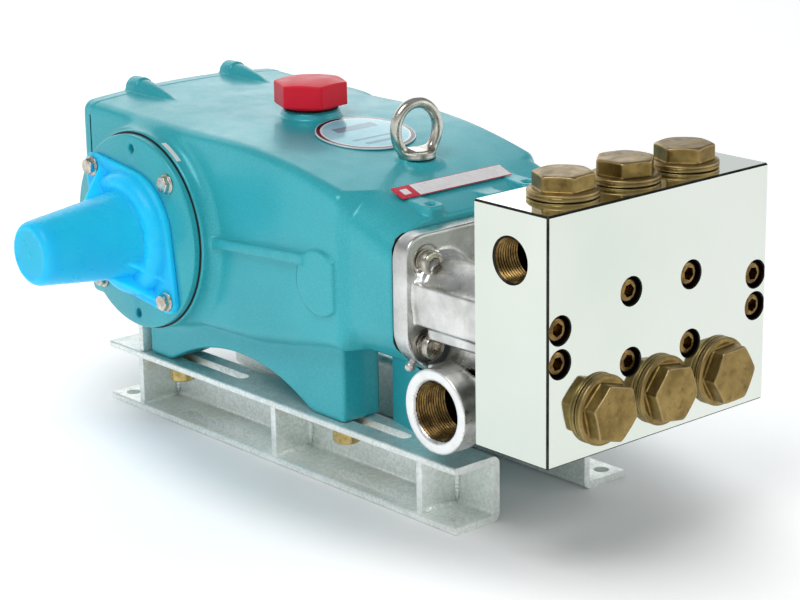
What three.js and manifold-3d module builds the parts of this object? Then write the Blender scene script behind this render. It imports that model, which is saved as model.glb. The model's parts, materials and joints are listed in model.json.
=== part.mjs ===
// Triplex plunger pump with a polished valve block, an inlet manifold, a cast
// crankcase and a pair of channel rails. Millimetres. X runs along the
// crankshaft, Y from the valve block towards the crankcase, Z up from the
// surface that the rails stand on.
import * as THREE from 'three';
import { mergeVertices } from 'three/addons/utils/BufferGeometryUtils.js';
import { ConvexGeometry } from 'three/addons/geometries/ConvexGeometry.js';
import Module from 'manifold-3d';

const wasm = await Module();
wasm.setup();

// Driving dimensions.
const cylinders = [0, 1, 2];
const pitch = 60;
const axisZ = 170;
const crankY = 457;
const throwRadius = 24;
const rodLength = 120;
const touchGap = 0.3;

const blockHalfWidth = 109.5;
const blockDepth = 71;
const blockBottom = 86;
const blockTop = 261;
const valveY = 35.5;
const inletValveZ = 118.5;
const galleryZ = 225;
const dischargePortRadius = 15.7;

const plateFront = 157;
const plateRear = 172.6;
const plateHalfWidth = 94.5;
const inletTubeY = 116;
const inletTubeZ = 98;
const inletTubeHalfLength = 106;
const inletTubeRadius = 31;
const inletPortRadius = 21.6;
const inletPassageZ = 111;
const barrelRadius = 24.5;
const packingRadius = 18;

const caseFront = 173;
const caseShoulderY = 228;
const caseCrestY = 335;
const caseRear = 531;
const caseHalfWidth = 99.5;
const caseFrontTop = 219;
const caseShoulderTop = 236;
const caseTop = 254;
const caseRearBottom = 95;
const caseWall = 8;
const guideRear = 296;
const sealWallRear = 187;
const rearCoverBack = 543;

const bossRadius = 81;
const bossFace = 112.3;
const bossBore = 58;
const coverFace = 118.8;
const coverRadius = 78.6;
const coverScrewCircle = 67.5;
const coverScrewAngles = [45, 135, 225, 315].map(THREE.MathUtils.degToRad);

const railTop = 51;
const railFront = 115;
const railRear = 543;
const railWebX = 44;
const railEdgeX = 88;
const railThickness = 5.5;
const footInnerX = 53.5;
const footOuterX = 82.5;
const footFront = 243.5;
const footRear = 491;
const archFront = 282.5;
const archRear = 463;
const archRise = 26;
const footSlotX = 67;
const footBoltYs = [259.5, 469.5];

const fillerY = 375;
const neckRadius = 23;
const neckTop = 261;
const eyeY = 250;
const shaftEnd = 205;

const crossheadRadius = 25;
const crossheadFront = 113;
const crossheadSlot = 63;
const plungerRadius = 14;
const plungerFront = 288;
const plungerRear = 193;

// Sides of large, middling and small round shapes.
const fine = 26;
const medium = 16;
const coarse = 10;

// Colours, roughness and metalness.
const finish = (color, roughness, metalness) => ({ color, roughness, metalness });
const tealPaint = finish(0x57b3b8, 0.3, 0.1);
const polishedSteel = finish(0xdfe4df, 0.08, 1);
const castSteel = finish(0xc4c6c2, 0.4, 0.9);
const zincSteel = finish(0xc9ccc6, 0.45, 0.9);
const yellowZinc = finish(0xb9a05c, 0.4, 0.9);
const bronze = finish(0x8a6f45, 0.4, 0.9);
const machinedSteel = finish(0xb0b3b6, 0.3, 1);
const forgedSteel = finish(0x6f7276, 0.5, 0.9);
const ceramic = finish(0xf2efe6, 0.15, 0);
const blackRubber = finish(0x1b1b1c, 0.7, 0);
const bluePlastic = finish(0x2ea4e6, 0.35, 0);
const redPlastic = finish(0xc8152f, 0.35, 0);
const labelPrint = finish(0xbfe4ee, 0.4, 0);
const stripPrint = finish(0xf4f0ee, 0.4, 0);
const gaugeGlass = finish(0xcfd8d2, 0.1, 0);

// Solids. Every shape becomes a Manifold, so that it can be joined and cut.
function solid(geometry) {
  const bare = geometry.index ? geometry.toNonIndexed() : geometry.clone();
  bare.deleteAttribute('normal');
  bare.deleteAttribute('uv');
  const merged = mergeVertices(bare, 1e-4);
  const points = merged.attributes.position.array;
  const faces = Array.from(merged.index.array);
  const corner = (i) => new THREE.Vector3().fromArray(points, 3 * i);
  let volume = 0;
  for (let i = 0; i < faces.length; i += 3) {
    const normal = corner(faces[i + 1]).cross(corner(faces[i + 2]));
    volume += corner(faces[i]).dot(normal);
  }
  if (volume < 0) faces.reverse();
  return new wasm.Manifold(new wasm.Mesh({
    numProp: 3,
    vertProperties: new Float32Array(points),
    triVerts: new Uint32Array(faces),
  }));
}

const join = (...solids) => solids.reduce((whole, piece) => whole.add(piece));
const cut = (body, ...tools) => tools.reduce((rest, tool) => rest.subtract(tool), body);

function box(x0, x1, y0, y1, z0, z1) {
  const geometry = new THREE.BoxGeometry(x1 - x0, y1 - y0, z1 - z0);
  return solid(geometry.translate((x0 + x1) / 2, (y0 + y1) / 2, (z0 + z1) / 2));
}

// Turns geometry made along +Y so that it lies along the named axis, and moves
// it to the two other coordinates, in X, Y, Z order.
function alongAxis(geometry, axis, u, v) {
  if (axis === 'x') return geometry.rotateZ(-Math.PI / 2).translate(0, u, v);
  if (axis === 'z') return geometry.rotateX(Math.PI / 2).translate(u, v, 0);
  return geometry.translate(u, 0, v);
}

function rod(axis, radius, from, to, u, v, sides = medium) {
  const geometry = new THREE.CylinderGeometry(radius, radius, to - from, sides);
  return solid(alongAxis(geometry.translate(0, (from + to) / 2, 0), axis, u, v));
}

// A hexagonal prism given by its width across flats.
function hexagon(axis, acrossFlats, from, to, u, v, turn = 0) {
  const radius = acrossFlats / Math.sqrt(3);
  const geometry = new THREE.CylinderGeometry(radius, radius, to - from, 6);
  geometry.rotateY(turn).translate(0, (from + to) / 2, 0);
  return solid(alongAxis(geometry, axis, u, v));
}

// A turned body: profile points are [radius, distance along the axis]. A
// profile that doesn't reach the axis is closed into a ring.
function turned(axis, profile, u, v, sides = medium) {
  const points = profile.map(([radius, along]) => new THREE.Vector2(radius, along));
  if (profile[0][0] > 0) points.push(points[0].clone());
  return solid(alongAxis(new THREE.LatheGeometry(points, sides), axis, u, v));
}

const ring = (axis, inner, outer, from, to, u, v, sides = medium) => turned(
  axis, [[inner, from], [outer, from], [outer, to], [inner, to]], u, v, sides);

// An outline drawn in the two other axes and extruded along the named one.
function prism(axis, outline, from, to) {
  const shape = outline instanceof THREE.Shape
    ? outline
    : new THREE.Shape(outline.map(([u, v]) => new THREE.Vector2(u, v)));
  const geometry = new THREE.ExtrudeGeometry(shape, {
    depth: to - from, bevelEnabled: false, curveSegments: 3,
  });
  const basis = new THREE.Matrix4();
  const x = new THREE.Vector3(1, 0, 0);
  const y = new THREE.Vector3(0, 1, 0);
  const z = new THREE.Vector3(0, 0, 1);
  if (axis === 'x') {
    geometry.applyMatrix4(basis.makeBasis(y, z, x)).translate(from, 0, 0);
  } else if (axis === 'y') {
    geometry.applyMatrix4(basis.makeBasis(x, z, y.clone().negate())).translate(0, to, 0);
  } else {
    geometry.translate(0, 0, from);
  }
  return solid(geometry);
}

function roundedRectangle(u0, u1, v0, v1, radius) {
  const shape = new THREE.Shape();
  shape.absarc(u1 - radius, v0 + radius, radius, -Math.PI / 2, 0);
  shape.absarc(u1 - radius, v1 - radius, radius, 0, Math.PI / 2);
  shape.absarc(u0 + radius, v1 - radius, radius, Math.PI / 2, Math.PI);
  shape.absarc(u0 + radius, v0 + radius, radius, Math.PI, 1.5 * Math.PI);
  return shape;
}

const hull = (points) => solid(new ConvexGeometry(points));

// A ring of points of the crankcase's cross-section at one distance along Y.
function section(y, halfWidth, bottom, top, corner, inset = 0) {
  const w = halfWidth - inset;
  const low = bottom + inset;
  const high = top - inset;
  const half = [
    [w, low + corner / 2], [w - corner / 2, low],
    [w, high - corner], [w - corner * 0.3, high - corner * 0.3], [w - corner, high],
  ];
  return half.flatMap(([x, z]) => [
    new THREE.Vector3(x, y, z), new THREE.Vector3(-x, y, z),
  ]);
}

// The model.
const group = new THREE.Group();

function addMesh(name, body, look) {
  const mesh = body.getMesh();
  const geometry = new THREE.BufferGeometry();
  geometry.setAttribute('position', new THREE.BufferAttribute(mesh.vertProperties, 3));
  geometry.setIndex(new THREE.BufferAttribute(mesh.triVerts, 1));
  geometry.computeVertexNormals();
  const part = new THREE.Mesh(geometry, new THREE.MeshStandardMaterial(look));
  part.name = name;
  group.add(part);
  return part;
}

const cylinderX = (i) => (i - 1) * pitch;
const sideName = (side) => (side < 0 ? 'left' : 'right');

// Crankcase: a wide chamber round the crank, a narrower nose with the three
// crosshead guides, two round bearing bosses and four feet under two arches.
const chamberSections = (inset) => [
  section(caseShoulderY - 4, caseHalfWidth - 1, 117, caseShoulderTop - 2, 14, inset),
  section(caseShoulderY + 2, caseHalfWidth, 116, caseShoulderTop + 1, 14, inset),
  section(caseCrestY, caseHalfWidth, 98, caseTop, 14, inset),
  section(caseRear, caseHalfWidth, caseRearBottom, caseTop, 14, inset),
];

function nose() {
  const noseHalfWidth = 94;
  const back = [[noseHalfWidth, 128], [noseHalfWidth - 14, 116], [noseHalfWidth, 222], [80, 237.5]];
  const front = [
    [plateHalfWidth, 134], [70, 108], [plateHalfWidth, 200], [84.5, 212], [70, caseFrontTop],
  ];
  const at = (y, corners) => corners.flatMap(([x, z]) => [
    new THREE.Vector3(x, y, z), new THREE.Vector3(-x, y, z),
  ]);
  return hull([...at(caseFront, front), ...at(caseShoulderY + 6, back)]);
}

function feet() {
  const archHalf = (archRear - archFront) / 2;
  const archRadius = (archHalf ** 2 + archRise ** 2) / (2 * archRise);
  const archMiddle = (archFront + archRear) / 2;
  const outline = new THREE.Shape();
  const footBottom = railTop + touchGap;
  outline.moveTo(footFront, footBottom);
  outline.lineTo(archFront, footBottom);
  const spread = Math.asin(archHalf / archRadius);
  outline.absarc(
    archMiddle, footBottom + archRise - archRadius, archRadius,
    Math.PI / 2 + spread, Math.PI / 2 - spread, true);
  outline.lineTo(footRear, footBottom);
  outline.lineTo(footRear, caseRearBottom + 12);
  outline.lineTo(footFront, 128);
  return join(
    prism('x', outline, -footOuterX, -footInnerX),
    prism('x', outline, footInnerX, footOuterX));
}

function bearingBoss(side) {
  const flare = [
    [0, caseHalfWidth - 3], [bossRadius + 9, caseHalfWidth - 3],
    [bossRadius + 8.4, caseHalfWidth + 0.6], [bossRadius + 2.5, caseHalfWidth + 3.4],
    [bossRadius, caseHalfWidth + 9], [bossRadius, bossFace], [0, bossFace],
  ].map(([radius, along]) => [radius, side * along]);
  return turned('x', flare, crankY, axisZ, fine);
}

// A round-nosed tongue on the roof over one fixing screw.
function roofTongue(x, y0, y1, z0, z1, radius) {
  const tail = y1 > y0 ? 1 : -1;
  const points = [];
  for (let step = 0; step <= 10; step += 1) {
    const angle = Math.PI * (step / 10);
    const dx = radius * Math.cos(angle);
    const dz = radius * Math.sin(angle);
    points.push(new THREE.Vector3(x + dx, y0, z1 - radius + dz));
    points.push(new THREE.Vector3(x + dx, (y0 + y1) / 2 - tail * 4, z1 - radius + dz * 0.96));
  }
  points.push(new THREE.Vector3(x, y1, z0), new THREE.Vector3(x, y1, z0 - 6));
  points.push(new THREE.Vector3(x - radius, y0, z0 - 6), new THREE.Vector3(x + radius, y0, z0 - 6));
  return hull(points);
}

const tongueX = 48.5;
const padY = 247;
const ribFront = 262;
const ribRear = 392;

// The two ends, in rising order, of a span that reaches equally far either way.
const across = (middle, reach) => [middle - Math.abs(reach), middle + Math.abs(reach)];

function crankcase() {
  let body = join(
    hull(chamberSections(0).flat()), nose(), feet(),
    bearingBoss(-1), bearingBoss(1),
    rod('z', neckRadius, caseTop - 6, neckTop, 0, fillerY, fine),
    rod('z', 15, 225, 243.2, 0, eyeY, medium));
  for (const side of [-1, 1]) {
    const wall = side * caseHalfWidth;
    const pad = rod('x', 25, ...across(wall, side * 1.5), padY, 164, medium);
    body = join(body, cut(pad, box(-150, 150, 200, caseShoulderY + 1, 100, 230)));
    const rib = [[ribFront, 184], [ribRear, 174], [ribRear, 166], [ribFront, 176]];
    if (side > 0) rib.reverse();
    body = join(body, prism('x', rib, ...across(wall + side * 1.5, side * 3.5)));
    body = join(body, roofTongue(side * tongueX, caseRear, 486, caseTop, 262, 9));
    body = join(body, roofTongue(side * tongueX, caseFront, 196, 225, 224, 9));
  }
  const chamberInside = [
    section(guideRear, caseHalfWidth, 107, 248, 14, caseWall),
    section(caseCrestY, caseHalfWidth, 98, caseTop, 14, caseWall),
    section(caseRear - caseWall, caseHalfWidth, caseRearBottom, caseTop, 14, caseWall),
  ];
  body = cut(
    body, hull(chamberInside.flat()),
    box(-caseHalfWidth, caseHalfWidth, caseRear, caseRear + 40, 0, 300),
    box(-84, 84, caseRear - 20, caseRear + 5, 110, 238),
    rod('x', bossBore, -bossFace - 5, bossFace + 5, crankY, axisZ, fine),
    rod('z', 17, 236, neckTop + 5, 0, fillerY, medium),
    rod('z', 5.3, 228, 250, 0, eyeY, coarse));
  for (const i of cylinders) {
    body = cut(
      body,
      rod('y', crossheadRadius + touchGap, sealWallRear, guideRear + 30, cylinderX(i), axisZ, fine),
      rod('y', 19, caseFront - 5, sealWallRear + 5, cylinderX(i), axisZ, medium));
  }
  for (const side of [-1, 1]) {
    for (const y of footBoltYs) {
      body = cut(body, rod('z', 5.3, railTop - 5, railTop + 30, side * footSlotX, y, coarse));
    }
  }
  for (const angle of coverScrewAngles) {
    const y = crankY + coverScrewCircle * Math.cos(angle);
    const z = axisZ + coverScrewCircle * Math.sin(angle);
    body = cut(body, rod('x', 4.3, -bossFace - 5, -bossFace + 16, y, z, coarse));
  }
  return body;
}

addMesh('crankcase', crankcase(), tealPaint);

// Rear cover with its six hexagon-headed screws, oil sight gauge and drain plug.
const gaugeZ = 158;
const drainZ = 112;
function rearCover() {
  const front = caseRear + touchGap;
  const halfWidth = caseHalfWidth - 2;
  let body = hull([
    ...section(front, halfWidth, caseRearBottom + 2, caseTop - 1, 16),
    ...section(rearCoverBack - 5, halfWidth, caseRearBottom + 2, caseTop - 1, 16),
    ...section(rearCoverBack, halfWidth, caseRearBottom + 2, caseTop - 1, 16, 5),
  ]);
  for (const side of [-1, 1]) {
    body = join(body, rod('y', 9, front, rearCoverBack, side * tongueX, 253, medium));
  }
  body = cut(
    body, box(-78, 78, front - 1, front + 5, 116, 232),
    rod('y', 14.3, front - 5, rearCoverBack + 5, 0, gaugeZ, medium),
    rod('y', 7.3, front - 5, rearCoverBack + 5, 0, drainZ, coarse));
  for (const side of [-1, 1]) {
    for (const [x, z] of [[tongueX, 253], [88, 175], [tongueX, 104]]) {
      body = join(body, hexagon('y', 13, rearCoverBack - 1, rearCoverBack + 6, side * x, z));
    }
  }
  return body;
}

addMesh('rear_cover', rearCover(), tealPaint);

addMesh('oil_sight_gauge', turned('y', [
  [0, 533], [14, 533], [14, rearCoverBack + touchGap], [17, rearCoverBack + touchGap],
  [17, rearCoverBack + 4], [12, rearCoverBack + 5], [0, rearCoverBack + 5],
], 0, gaugeZ, medium), gaugeGlass);

addMesh('oil_drain_plug', join(
  rod('y', 7, 532, rearCoverBack + touchGap + 1, 0, drainZ, coarse),
  hexagon('y', 17, rearCoverBack + touchGap, rearCoverBack + 7, 0, drainZ)), zincSteel);

// Bearing covers, their bearings and the crankshaft's lip seals.
function bearingCover(side) {
  const face = bossFace + touchGap;
  const profile = [
    [45.3, 84], [57.7, 84], [57.7, face], [coverRadius, face], [coverRadius, coverFace],
    [26, coverFace], [26, 106], [45.3, 106],
  ].map(([radius, along]) => [radius, side * along]);
  let body = turned('x', profile, crankY, axisZ, fine);
  for (const angle of coverScrewAngles) {
    const y = crankY + coverScrewCircle * Math.cos(angle);
    const z = axisZ + coverScrewCircle * Math.sin(angle);
    if (side < 0) {
      body = cut(body, rod('x', 4.3, -coverFace - 5, -face + 5, y, z, coarse));
    } else {
      body = join(body, hexagon('x', 13, coverFace - 1, coverFace + 6.5, y, z));
    }
  }
  return body;
}

for (const side of [-1, 1]) {
  const name = sideName(side);
  const between = (from, to) => (side < 0 ? [-to, -from] : [from, to]);
  addMesh(`${name}_bearing_cover`, bearingCover(side), tealPaint);
  addMesh(`${name}_bearing_cup`, turned('x', [
    [35.5, 84.5], [45, 84.5], [45, 105.7], [39.5, 105.7],
  ].map(([radius, along]) => [radius, side * along]), crankY, axisZ, fine), machinedSteel);
  addMesh(`${name}_bearing_cone`, turned('x', [
    [20.2, 84.5], [33.4, 84.5], [37.4, 105.7], [20.2, 105.7],
  ].map(([radius, along]) => [radius, side * along]), crankY, axisZ, fine), machinedSteel);
  addMesh(`${name}_shaft_seal`, ring('x', 18, 25.7, ...between(108, 116), crankY, axisZ), blackRubber);
}

// Crankshaft with three crankpins a third of a turn apart.
const phase = (i) => (i * 2 * Math.PI) / 3;
const pinPlace = (i) => [
  crankY + throwRadius * Math.cos(phase(i)), axisZ + throwRadius * Math.sin(phase(i)),
];
const circlePoints = (x, radius, [y, z], count = medium) => Array.from({ length: count }, (_, k) => {
  const angle = (k / count) * 2 * Math.PI;
  return new THREE.Vector3(x, y + radius * Math.cos(angle), z + radius * Math.sin(angle));
});

const keyFrom = 145;
const keyTo = 197;
const keyWidth = 10;
const keyBottom = 12.5;
function crankshaft() {
  const main = [crankY, axisZ];
  const web = (x0, x1, places, radii) => hull(places.flatMap((place, k) => [
    ...circlePoints(x0, radii[k], place), ...circlePoints(x1, radii[k], place),
  ]));
  let body = join(
    turned('x', [[0, -shaftEnd], [16.5, -shaftEnd], [17.5, -shaftEnd + 1], [17.5, -106],
      [19.9, -106], [19.9, -84], [25, -84], [25, -80], [0, -80]], ...main, medium),
    turned('x', [[0, shaftEnd], [16.5, shaftEnd], [17.5, shaftEnd - 1], [17.5, 106],
      [19.9, 106], [19.9, 84], [25, 84], [25, 80], [0, 80]], ...main, medium),
    web(-83, -73, [main, pinPlace(0)], [25, 21]),
    web(73, 83, [main, pinPlace(2)], [25, 21]),
    web(-47, -13, [pinPlace(0), pinPlace(1)], [21, 21]),
    web(13, 47, [pinPlace(1), pinPlace(2)], [21, 21]));
  for (const i of cylinders) {
    body = join(body, rod('x', 17, cylinderX(i) - 14, cylinderX(i) + 14, ...pinPlace(i), medium));
  }
  const top = axisZ + keyBottom;
  return cut(body, box(
    keyFrom - touchGap, keyTo + touchGap, crankY - keyWidth / 2 - touchGap,
    crankY + keyWidth / 2 + touchGap, top - touchGap, top + 20));
}

addMesh('crankshaft', crankshaft(), forgedSteel);
addMesh('shaft_key', box(
  keyFrom, keyTo, crankY - keyWidth / 2, crankY + keyWidth / 2,
  axisZ + keyBottom, axisZ + keyBottom + 8), machinedSteel);

// Connecting rods, wrist pins, crossheads and plungers.
const rodHalfWidth = 11.8;
function connectingRod() {
  const bigEnd = rod('x', 27, -rodHalfWidth, rodHalfWidth, 0, 0, medium);
  const smallEnd = rod('x', 14, -rodHalfWidth, rodHalfWidth, -rodLength, 0, medium);
  const shank = prism('x', [[-20, -9], [-20, 9], [-rodLength + 8, 7], [-rodLength + 8, -7]], -7, 7);
  const bolts = join(
    rod('z', 4.5, -29, 29, 0, 0, coarse).translate([0, 22, 0]),
    box(-rodHalfWidth + 2, rodHalfWidth - 2, -4, 4, -29, 29));
  return cut(
    join(bigEnd, smallEnd, shank, bolts),
    rod('x', 17.7, -20, 20, 0, 0, medium), rod('x', 8.3, -20, 20, -rodLength, 0, medium));
}

function crosshead(x, wristY) {
  const front = wristY - crossheadFront;
  const body = join(
    rod('y', crossheadRadius, front, wristY + 13, x, axisZ, fine),
    rod('y', 12, wristY - plungerRear + touchGap, front + 1, x, axisZ, medium));
  return cut(
    body,
    box(x - 13.5, x + 13.5, wristY - crossheadSlot, wristY + 20, axisZ - 40, axisZ + 40),
    rod('x', 8.3, x - 40, x + 40, wristY, axisZ, medium));
}

for (const i of cylinders) {
  const x = cylinderX(i);
  const [pinY, pinZ] = pinPlace(i);
  const drop = pinZ - axisZ;
  const wristY = pinY - Math.sqrt(rodLength ** 2 - drop ** 2);
  const rodMesh = addMesh(`connecting_rod_${i + 1}`, connectingRod(), forgedSteel);
  rodMesh.position.set(x, pinY, pinZ);
  rodMesh.rotation.x = Math.asin(drop / rodLength);
  addMesh(`wrist_pin_${i + 1}`, rod('x', 8, x - 11.5, x + 11.5, wristY, axisZ, medium), machinedSteel);
  addMesh(`crosshead_${i + 1}`, crosshead(x, wristY), machinedSteel);
  addMesh(`plunger_${i + 1}`, turned('y', [
    [0, wristY - plungerFront], [plungerRadius - 1.5, wristY - plungerFront],
    [plungerRadius, wristY - plungerFront + 1.5], [plungerRadius, wristY - plungerRear],
    [0, wristY - plungerRear],
  ], x, axisZ, medium), ceramic);
  addMesh(`oil_seal_${i + 1}`, ring('y', 12.3, 18.7, 174, 186, x, axisZ, medium), blackRubber);
  addMesh(
    `plunger_packing_${i + 1}`,
    ring('y', 14.3, packingRadius, 76, 100, x, axisZ, medium),
    blackRubber,
  );
}

// Inlet tube, with a short branch to each of the block's inlet valves. It is cast
// with the manifold, and is a node of its own so that its bore stays simple.
const branchRadius = 14;
function inletTube() {
  let body = rod('x', inletTubeRadius - 1, -inletTubeHalfLength + 12, inletTubeHalfLength - 12,
    inletTubeY, inletTubeZ, fine);
  for (const side of [-1, 1]) {
    const ends = [side * (inletTubeHalfLength - 18), side * inletTubeHalfLength].sort((a, b) => a - b);
    body = join(body, rod('x', inletTubeRadius, ...ends, inletTubeY, inletTubeZ, fine));
  }
  for (const i of cylinders) {
    body = join(body, rod('y', branchRadius, blockDepth + touchGap, inletTubeY - 18,
      cylinderX(i), inletPassageZ, medium));
  }
  body = cut(body, rod('x', inletPortRadius, -150, 150, inletTubeY, inletTubeZ, fine));
  for (const i of cylinders) {
    body = cut(body, rod('y', 9, 60, inletTubeY, cylinderX(i), inletPassageZ, coarse));
  }
  return body;
}

addMesh('inlet_tube', inletTube(), castSteel);

// Inlet manifold: flange plate, three packing barrels and the saddle of the tube.
const plateScrewX = 74;
const plateScrewZs = [131, 193];
function inletManifold() {
  const barrelRear = plateRear - 1;
  const back = blockDepth + touchGap;
  const outline = [
    [-plateHalfWidth, 134], [-plateHalfWidth + 3, 128], [-68, 106], [68, 106],
    [plateHalfWidth - 3, 128], [plateHalfWidth, 134], [plateHalfWidth, 204],
    [plateHalfWidth - 3, 211], [plateHalfWidth - 10, 214], [-plateHalfWidth + 10, 214],
    [-plateHalfWidth + 3, 211], [-plateHalfWidth, 204],
  ];
  let body = join(
    prism('y', outline, plateFront, plateRear),
    box(-90, 90, back, plateFront + 1, 149, 180),
    prism('x', [[84, 118.5], [148, 118.5], [150, 152], [82, 152]], -76, 76));
  for (const side of [-1, 1]) {
    for (const z of plateScrewZs) {
      body = cut(body, rod('y', 13, back - 2, plateFront + 3, side * plateScrewX, z, medium));
      body = join(body, rod('y', 9, plateFront - 7, plateFront + 4, side * plateScrewX, z, medium));
    }
  }
  for (const i of cylinders) {
    body = join(body, rod('y', barrelRadius, back, barrelRear, cylinderX(i), axisZ, medium));
  }
  body = cut(body, rod('x', inletTubeRadius - 1 + touchGap, -90, 90, inletTubeY, inletTubeZ, fine));
  for (const i of cylinders) {
    body = cut(
      body,
      rod('y', packingRadius + touchGap, 74, plateRear + 5, cylinderX(i), axisZ, medium),
      rod('y', plungerRadius + 0.8, 60, 80, cylinderX(i), axisZ, medium),
      rod('y', branchRadius + touchGap, 60, inletTubeY, cylinderX(i), inletPassageZ, medium));
  }
  return body;
}

addMesh('inlet_manifold', inletManifold(), castSteel);

// Valve block with plunger bores, valve chambers, discharge gallery and the
// eight counterbores of its socket-head screws.
const valveBore = 21;
const blockScrews = [[98, 11.7], [30, 25]];
function valveBlock() {
  let body = box(-blockHalfWidth, blockHalfWidth, 0, blockDepth, blockBottom, blockTop);
  body = cut(body, rod('x', dischargePortRadius, -150, 150, valveY, galleryZ, fine));
  for (const i of cylinders) {
    const x = cylinderX(i);
    body = cut(
      body,
      rod('y', plungerRadius + 0.8, 18, blockDepth + 5, x, axisZ, medium),
      rod('z', 10, inletValveZ, 202, x, valveY, medium),
      rod('z', valveBore, 200, blockTop + 5, x, valveY, medium),
      rod('y', valveBore, -5, 46, x, inletValveZ, medium),
      rod('y', 14, 45, 58, x, inletValveZ, medium),
      rod('y', 9, 57, blockDepth + 5, x, inletPassageZ, coarse));
  }
  for (const side of [-1, 1]) {
    for (const [x, rise] of blockScrews) {
      for (const end of [-1, 1]) {
        body = cut(body, rod('y', 10, -5, 12, side * x, axisZ + end * rise, medium));
      }
    }
  }
  return body;
}

addMesh('valve_block', valveBlock(), polishedSteel);

// A hexagon plug whose flange seats on the block. Its axis points inwards.
const inletPlugTurns = [-16, -9, 2].map(THREE.MathUtils.degToRad);
const dischargePlugTurns = [35, 9, 40].map(THREE.MathUtils.degToRad);
function valvePlug(axis, x, surface, inward, neckEnd, turn) {
  const at = (distance) => surface - inward * distance;
  const u = x;
  const v = axis === 'z' ? valveY : inletValveZ;
  const span = (a, b) => [Math.min(at(a), at(b)), Math.max(at(a), at(b))];
  return join(
    hexagon(axis, 38, ...span(17, 5), u, v, turn),
    rod(axis, 25, ...span(5.2, touchGap), u, v, fine),
    rod(axis, valveBore - touchGap, ...span(1, -neckEnd), u, v, medium));
}

const inletPlugEnd = 14;
const dischargePlugEnd = 18;
for (const i of cylinders) {
  const x = cylinderX(i);
  addMesh(`inlet_valve_plug_${i + 1}`,
    valvePlug('y', x, 0, 1, inletPlugEnd, inletPlugTurns[i]), bronze);
  addMesh(`discharge_valve_plug_${i + 1}`,
    valvePlug('z', x, blockTop, -1, dischargePlugEnd, dischargePlugTurns[i]), bronze);
  addMesh(`inlet_valve_${i + 1}`, turned('y', [
    [0, 37], [9, 37], [9, 40.5], [17, 40.5], [17, 44], [15, 45.7], [0, 45.7],
  ], x, inletValveZ, medium), machinedSteel);
  addMesh(`discharge_valve_${i + 1}`, turned('z', [
    [0, 200.3], [14, 200.3], [17, 202.5], [17, 205], [9, 205], [9, 208.5], [0, 208.5],
  ], x, valveY, medium), machinedSteel);
}

// Shaft guard: a blunt hollow cone on a two-lobed flange, which takes two of
// the bearing cover's screws.
const guardFlange = 5;
const guardScrews = [0, 2];
const guardBack = coverFace + touchGap;
const guardTip = 215.5;
function shaftGuard() {
  const shell = turned('x', [
    [0, guardTip], [19, guardTip], [23.5, guardTip - 1.4], [25.4, guardTip - 5],
    [34.3, 138], [38, 135], [43, 134.2], [47.5, 131], [49, 126], [49, guardBack],
    [43, guardBack], [43, 126], [39, 130.5], [32, 131.5], [22.6, guardTip - 5],
    [20.5, guardTip - 3], [0, guardTip - 3],
  ].map(([radius, along]) => [radius, -along]), crankY, axisZ, fine);
  const lobeCentres = guardScrews.map((i) => [
    crankY + coverScrewCircle * Math.cos(coverScrewAngles[i]),
    axisZ + coverScrewCircle * Math.sin(coverScrewAngles[i]),
  ]);
  const outer = -guardBack - guardFlange;
  const flange = hull([
    ...[-guardBack, outer].flatMap((x) => [
      ...circlePoints(x, 51, [crankY, axisZ], fine),
      ...lobeCentres.flatMap((place) => circlePoints(x, 10.5, place, coarse)),
    ]),
  ]);
  let body = join(shell, cut(flange, rod('x', 46, outer - 5, -guardBack + 5, crankY, axisZ, fine)));
  for (const [y, z] of lobeCentres) {
    body = cut(body, rod('x', 4.3, outer - 5, -guardBack + 5, y, z, coarse));
  }
  return body;
}

addMesh('shaft_guard', shaftGuard(), bluePlastic);

// Oil filler cap on its seal ring.
const sealTop = neckTop + touchGap + 1.6;
addMesh(
  'filler_cap_seal',
  ring('z', 17.3, 22, neckTop + touchGap, sealTop, 0, fillerY, medium),
  blackRubber,
);
addMesh('oil_filler_cap', join(
  rod('z', 16.6, neckTop - 14, sealTop + 3, 0, fillerY, medium),
  hexagon('z', 52, sealTop + touchGap, 286, 0, fillerY, 0.12)), redPlastic);

// Lifting eye.
const eyeSeat = 243.2 + touchGap;
const eyeRing = new THREE.TorusGeometry(17.5, 5, coarse - 2, fine - 4);
eyeRing.rotateX(Math.PI / 2).rotateZ(THREE.MathUtils.degToRad(-11)).translate(0, eyeY, eyeSeat + 22.5);
addMesh('lifting_eye', join(
  solid(eyeRing), rod('z', 5, 232, eyeSeat + 4, 0, eyeY, coarse),
  turned('z', [[0, eyeSeat], [12.5, eyeSeat], [12.5, eyeSeat + 4], [7, eyeSeat + 8],
    [0, eyeSeat + 8]], 0, eyeY, medium)), zincSteel);

// Nameplate and warning strip, two thin plates on the sloping roof.
const roofPitch = Math.atan2(caseTop - caseShoulderTop, caseCrestY - caseShoulderY);
const plate = new THREE.CylinderGeometry(1, 1, 0.8, fine);
plate.scale(41, 1, 37).rotateX(Math.PI / 2);
const nameplate = addMesh('nameplate', solid(plate), labelPrint);
const nameplateY = 309;
nameplate.rotation.x = roofPitch;
nameplate.position.set(
  0, nameplateY, caseShoulderTop + (nameplateY - caseShoulderY) * Math.tan(roofPitch) + 1.5);

const nosePitch = Math.atan2(237.5 - caseFrontTop, caseShoulderY + 6 - caseFront);
const stripY = 205.5;
const strip = addMesh('warning_strip', box(-60, 50, -7.5, 7.5, -0.4, 0.4), stripPrint);
strip.rotation.x = nosePitch;
strip.position.set(0, stripY, caseFrontTop + (stripY - caseFront) * Math.tan(nosePitch) + 0.9);

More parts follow.
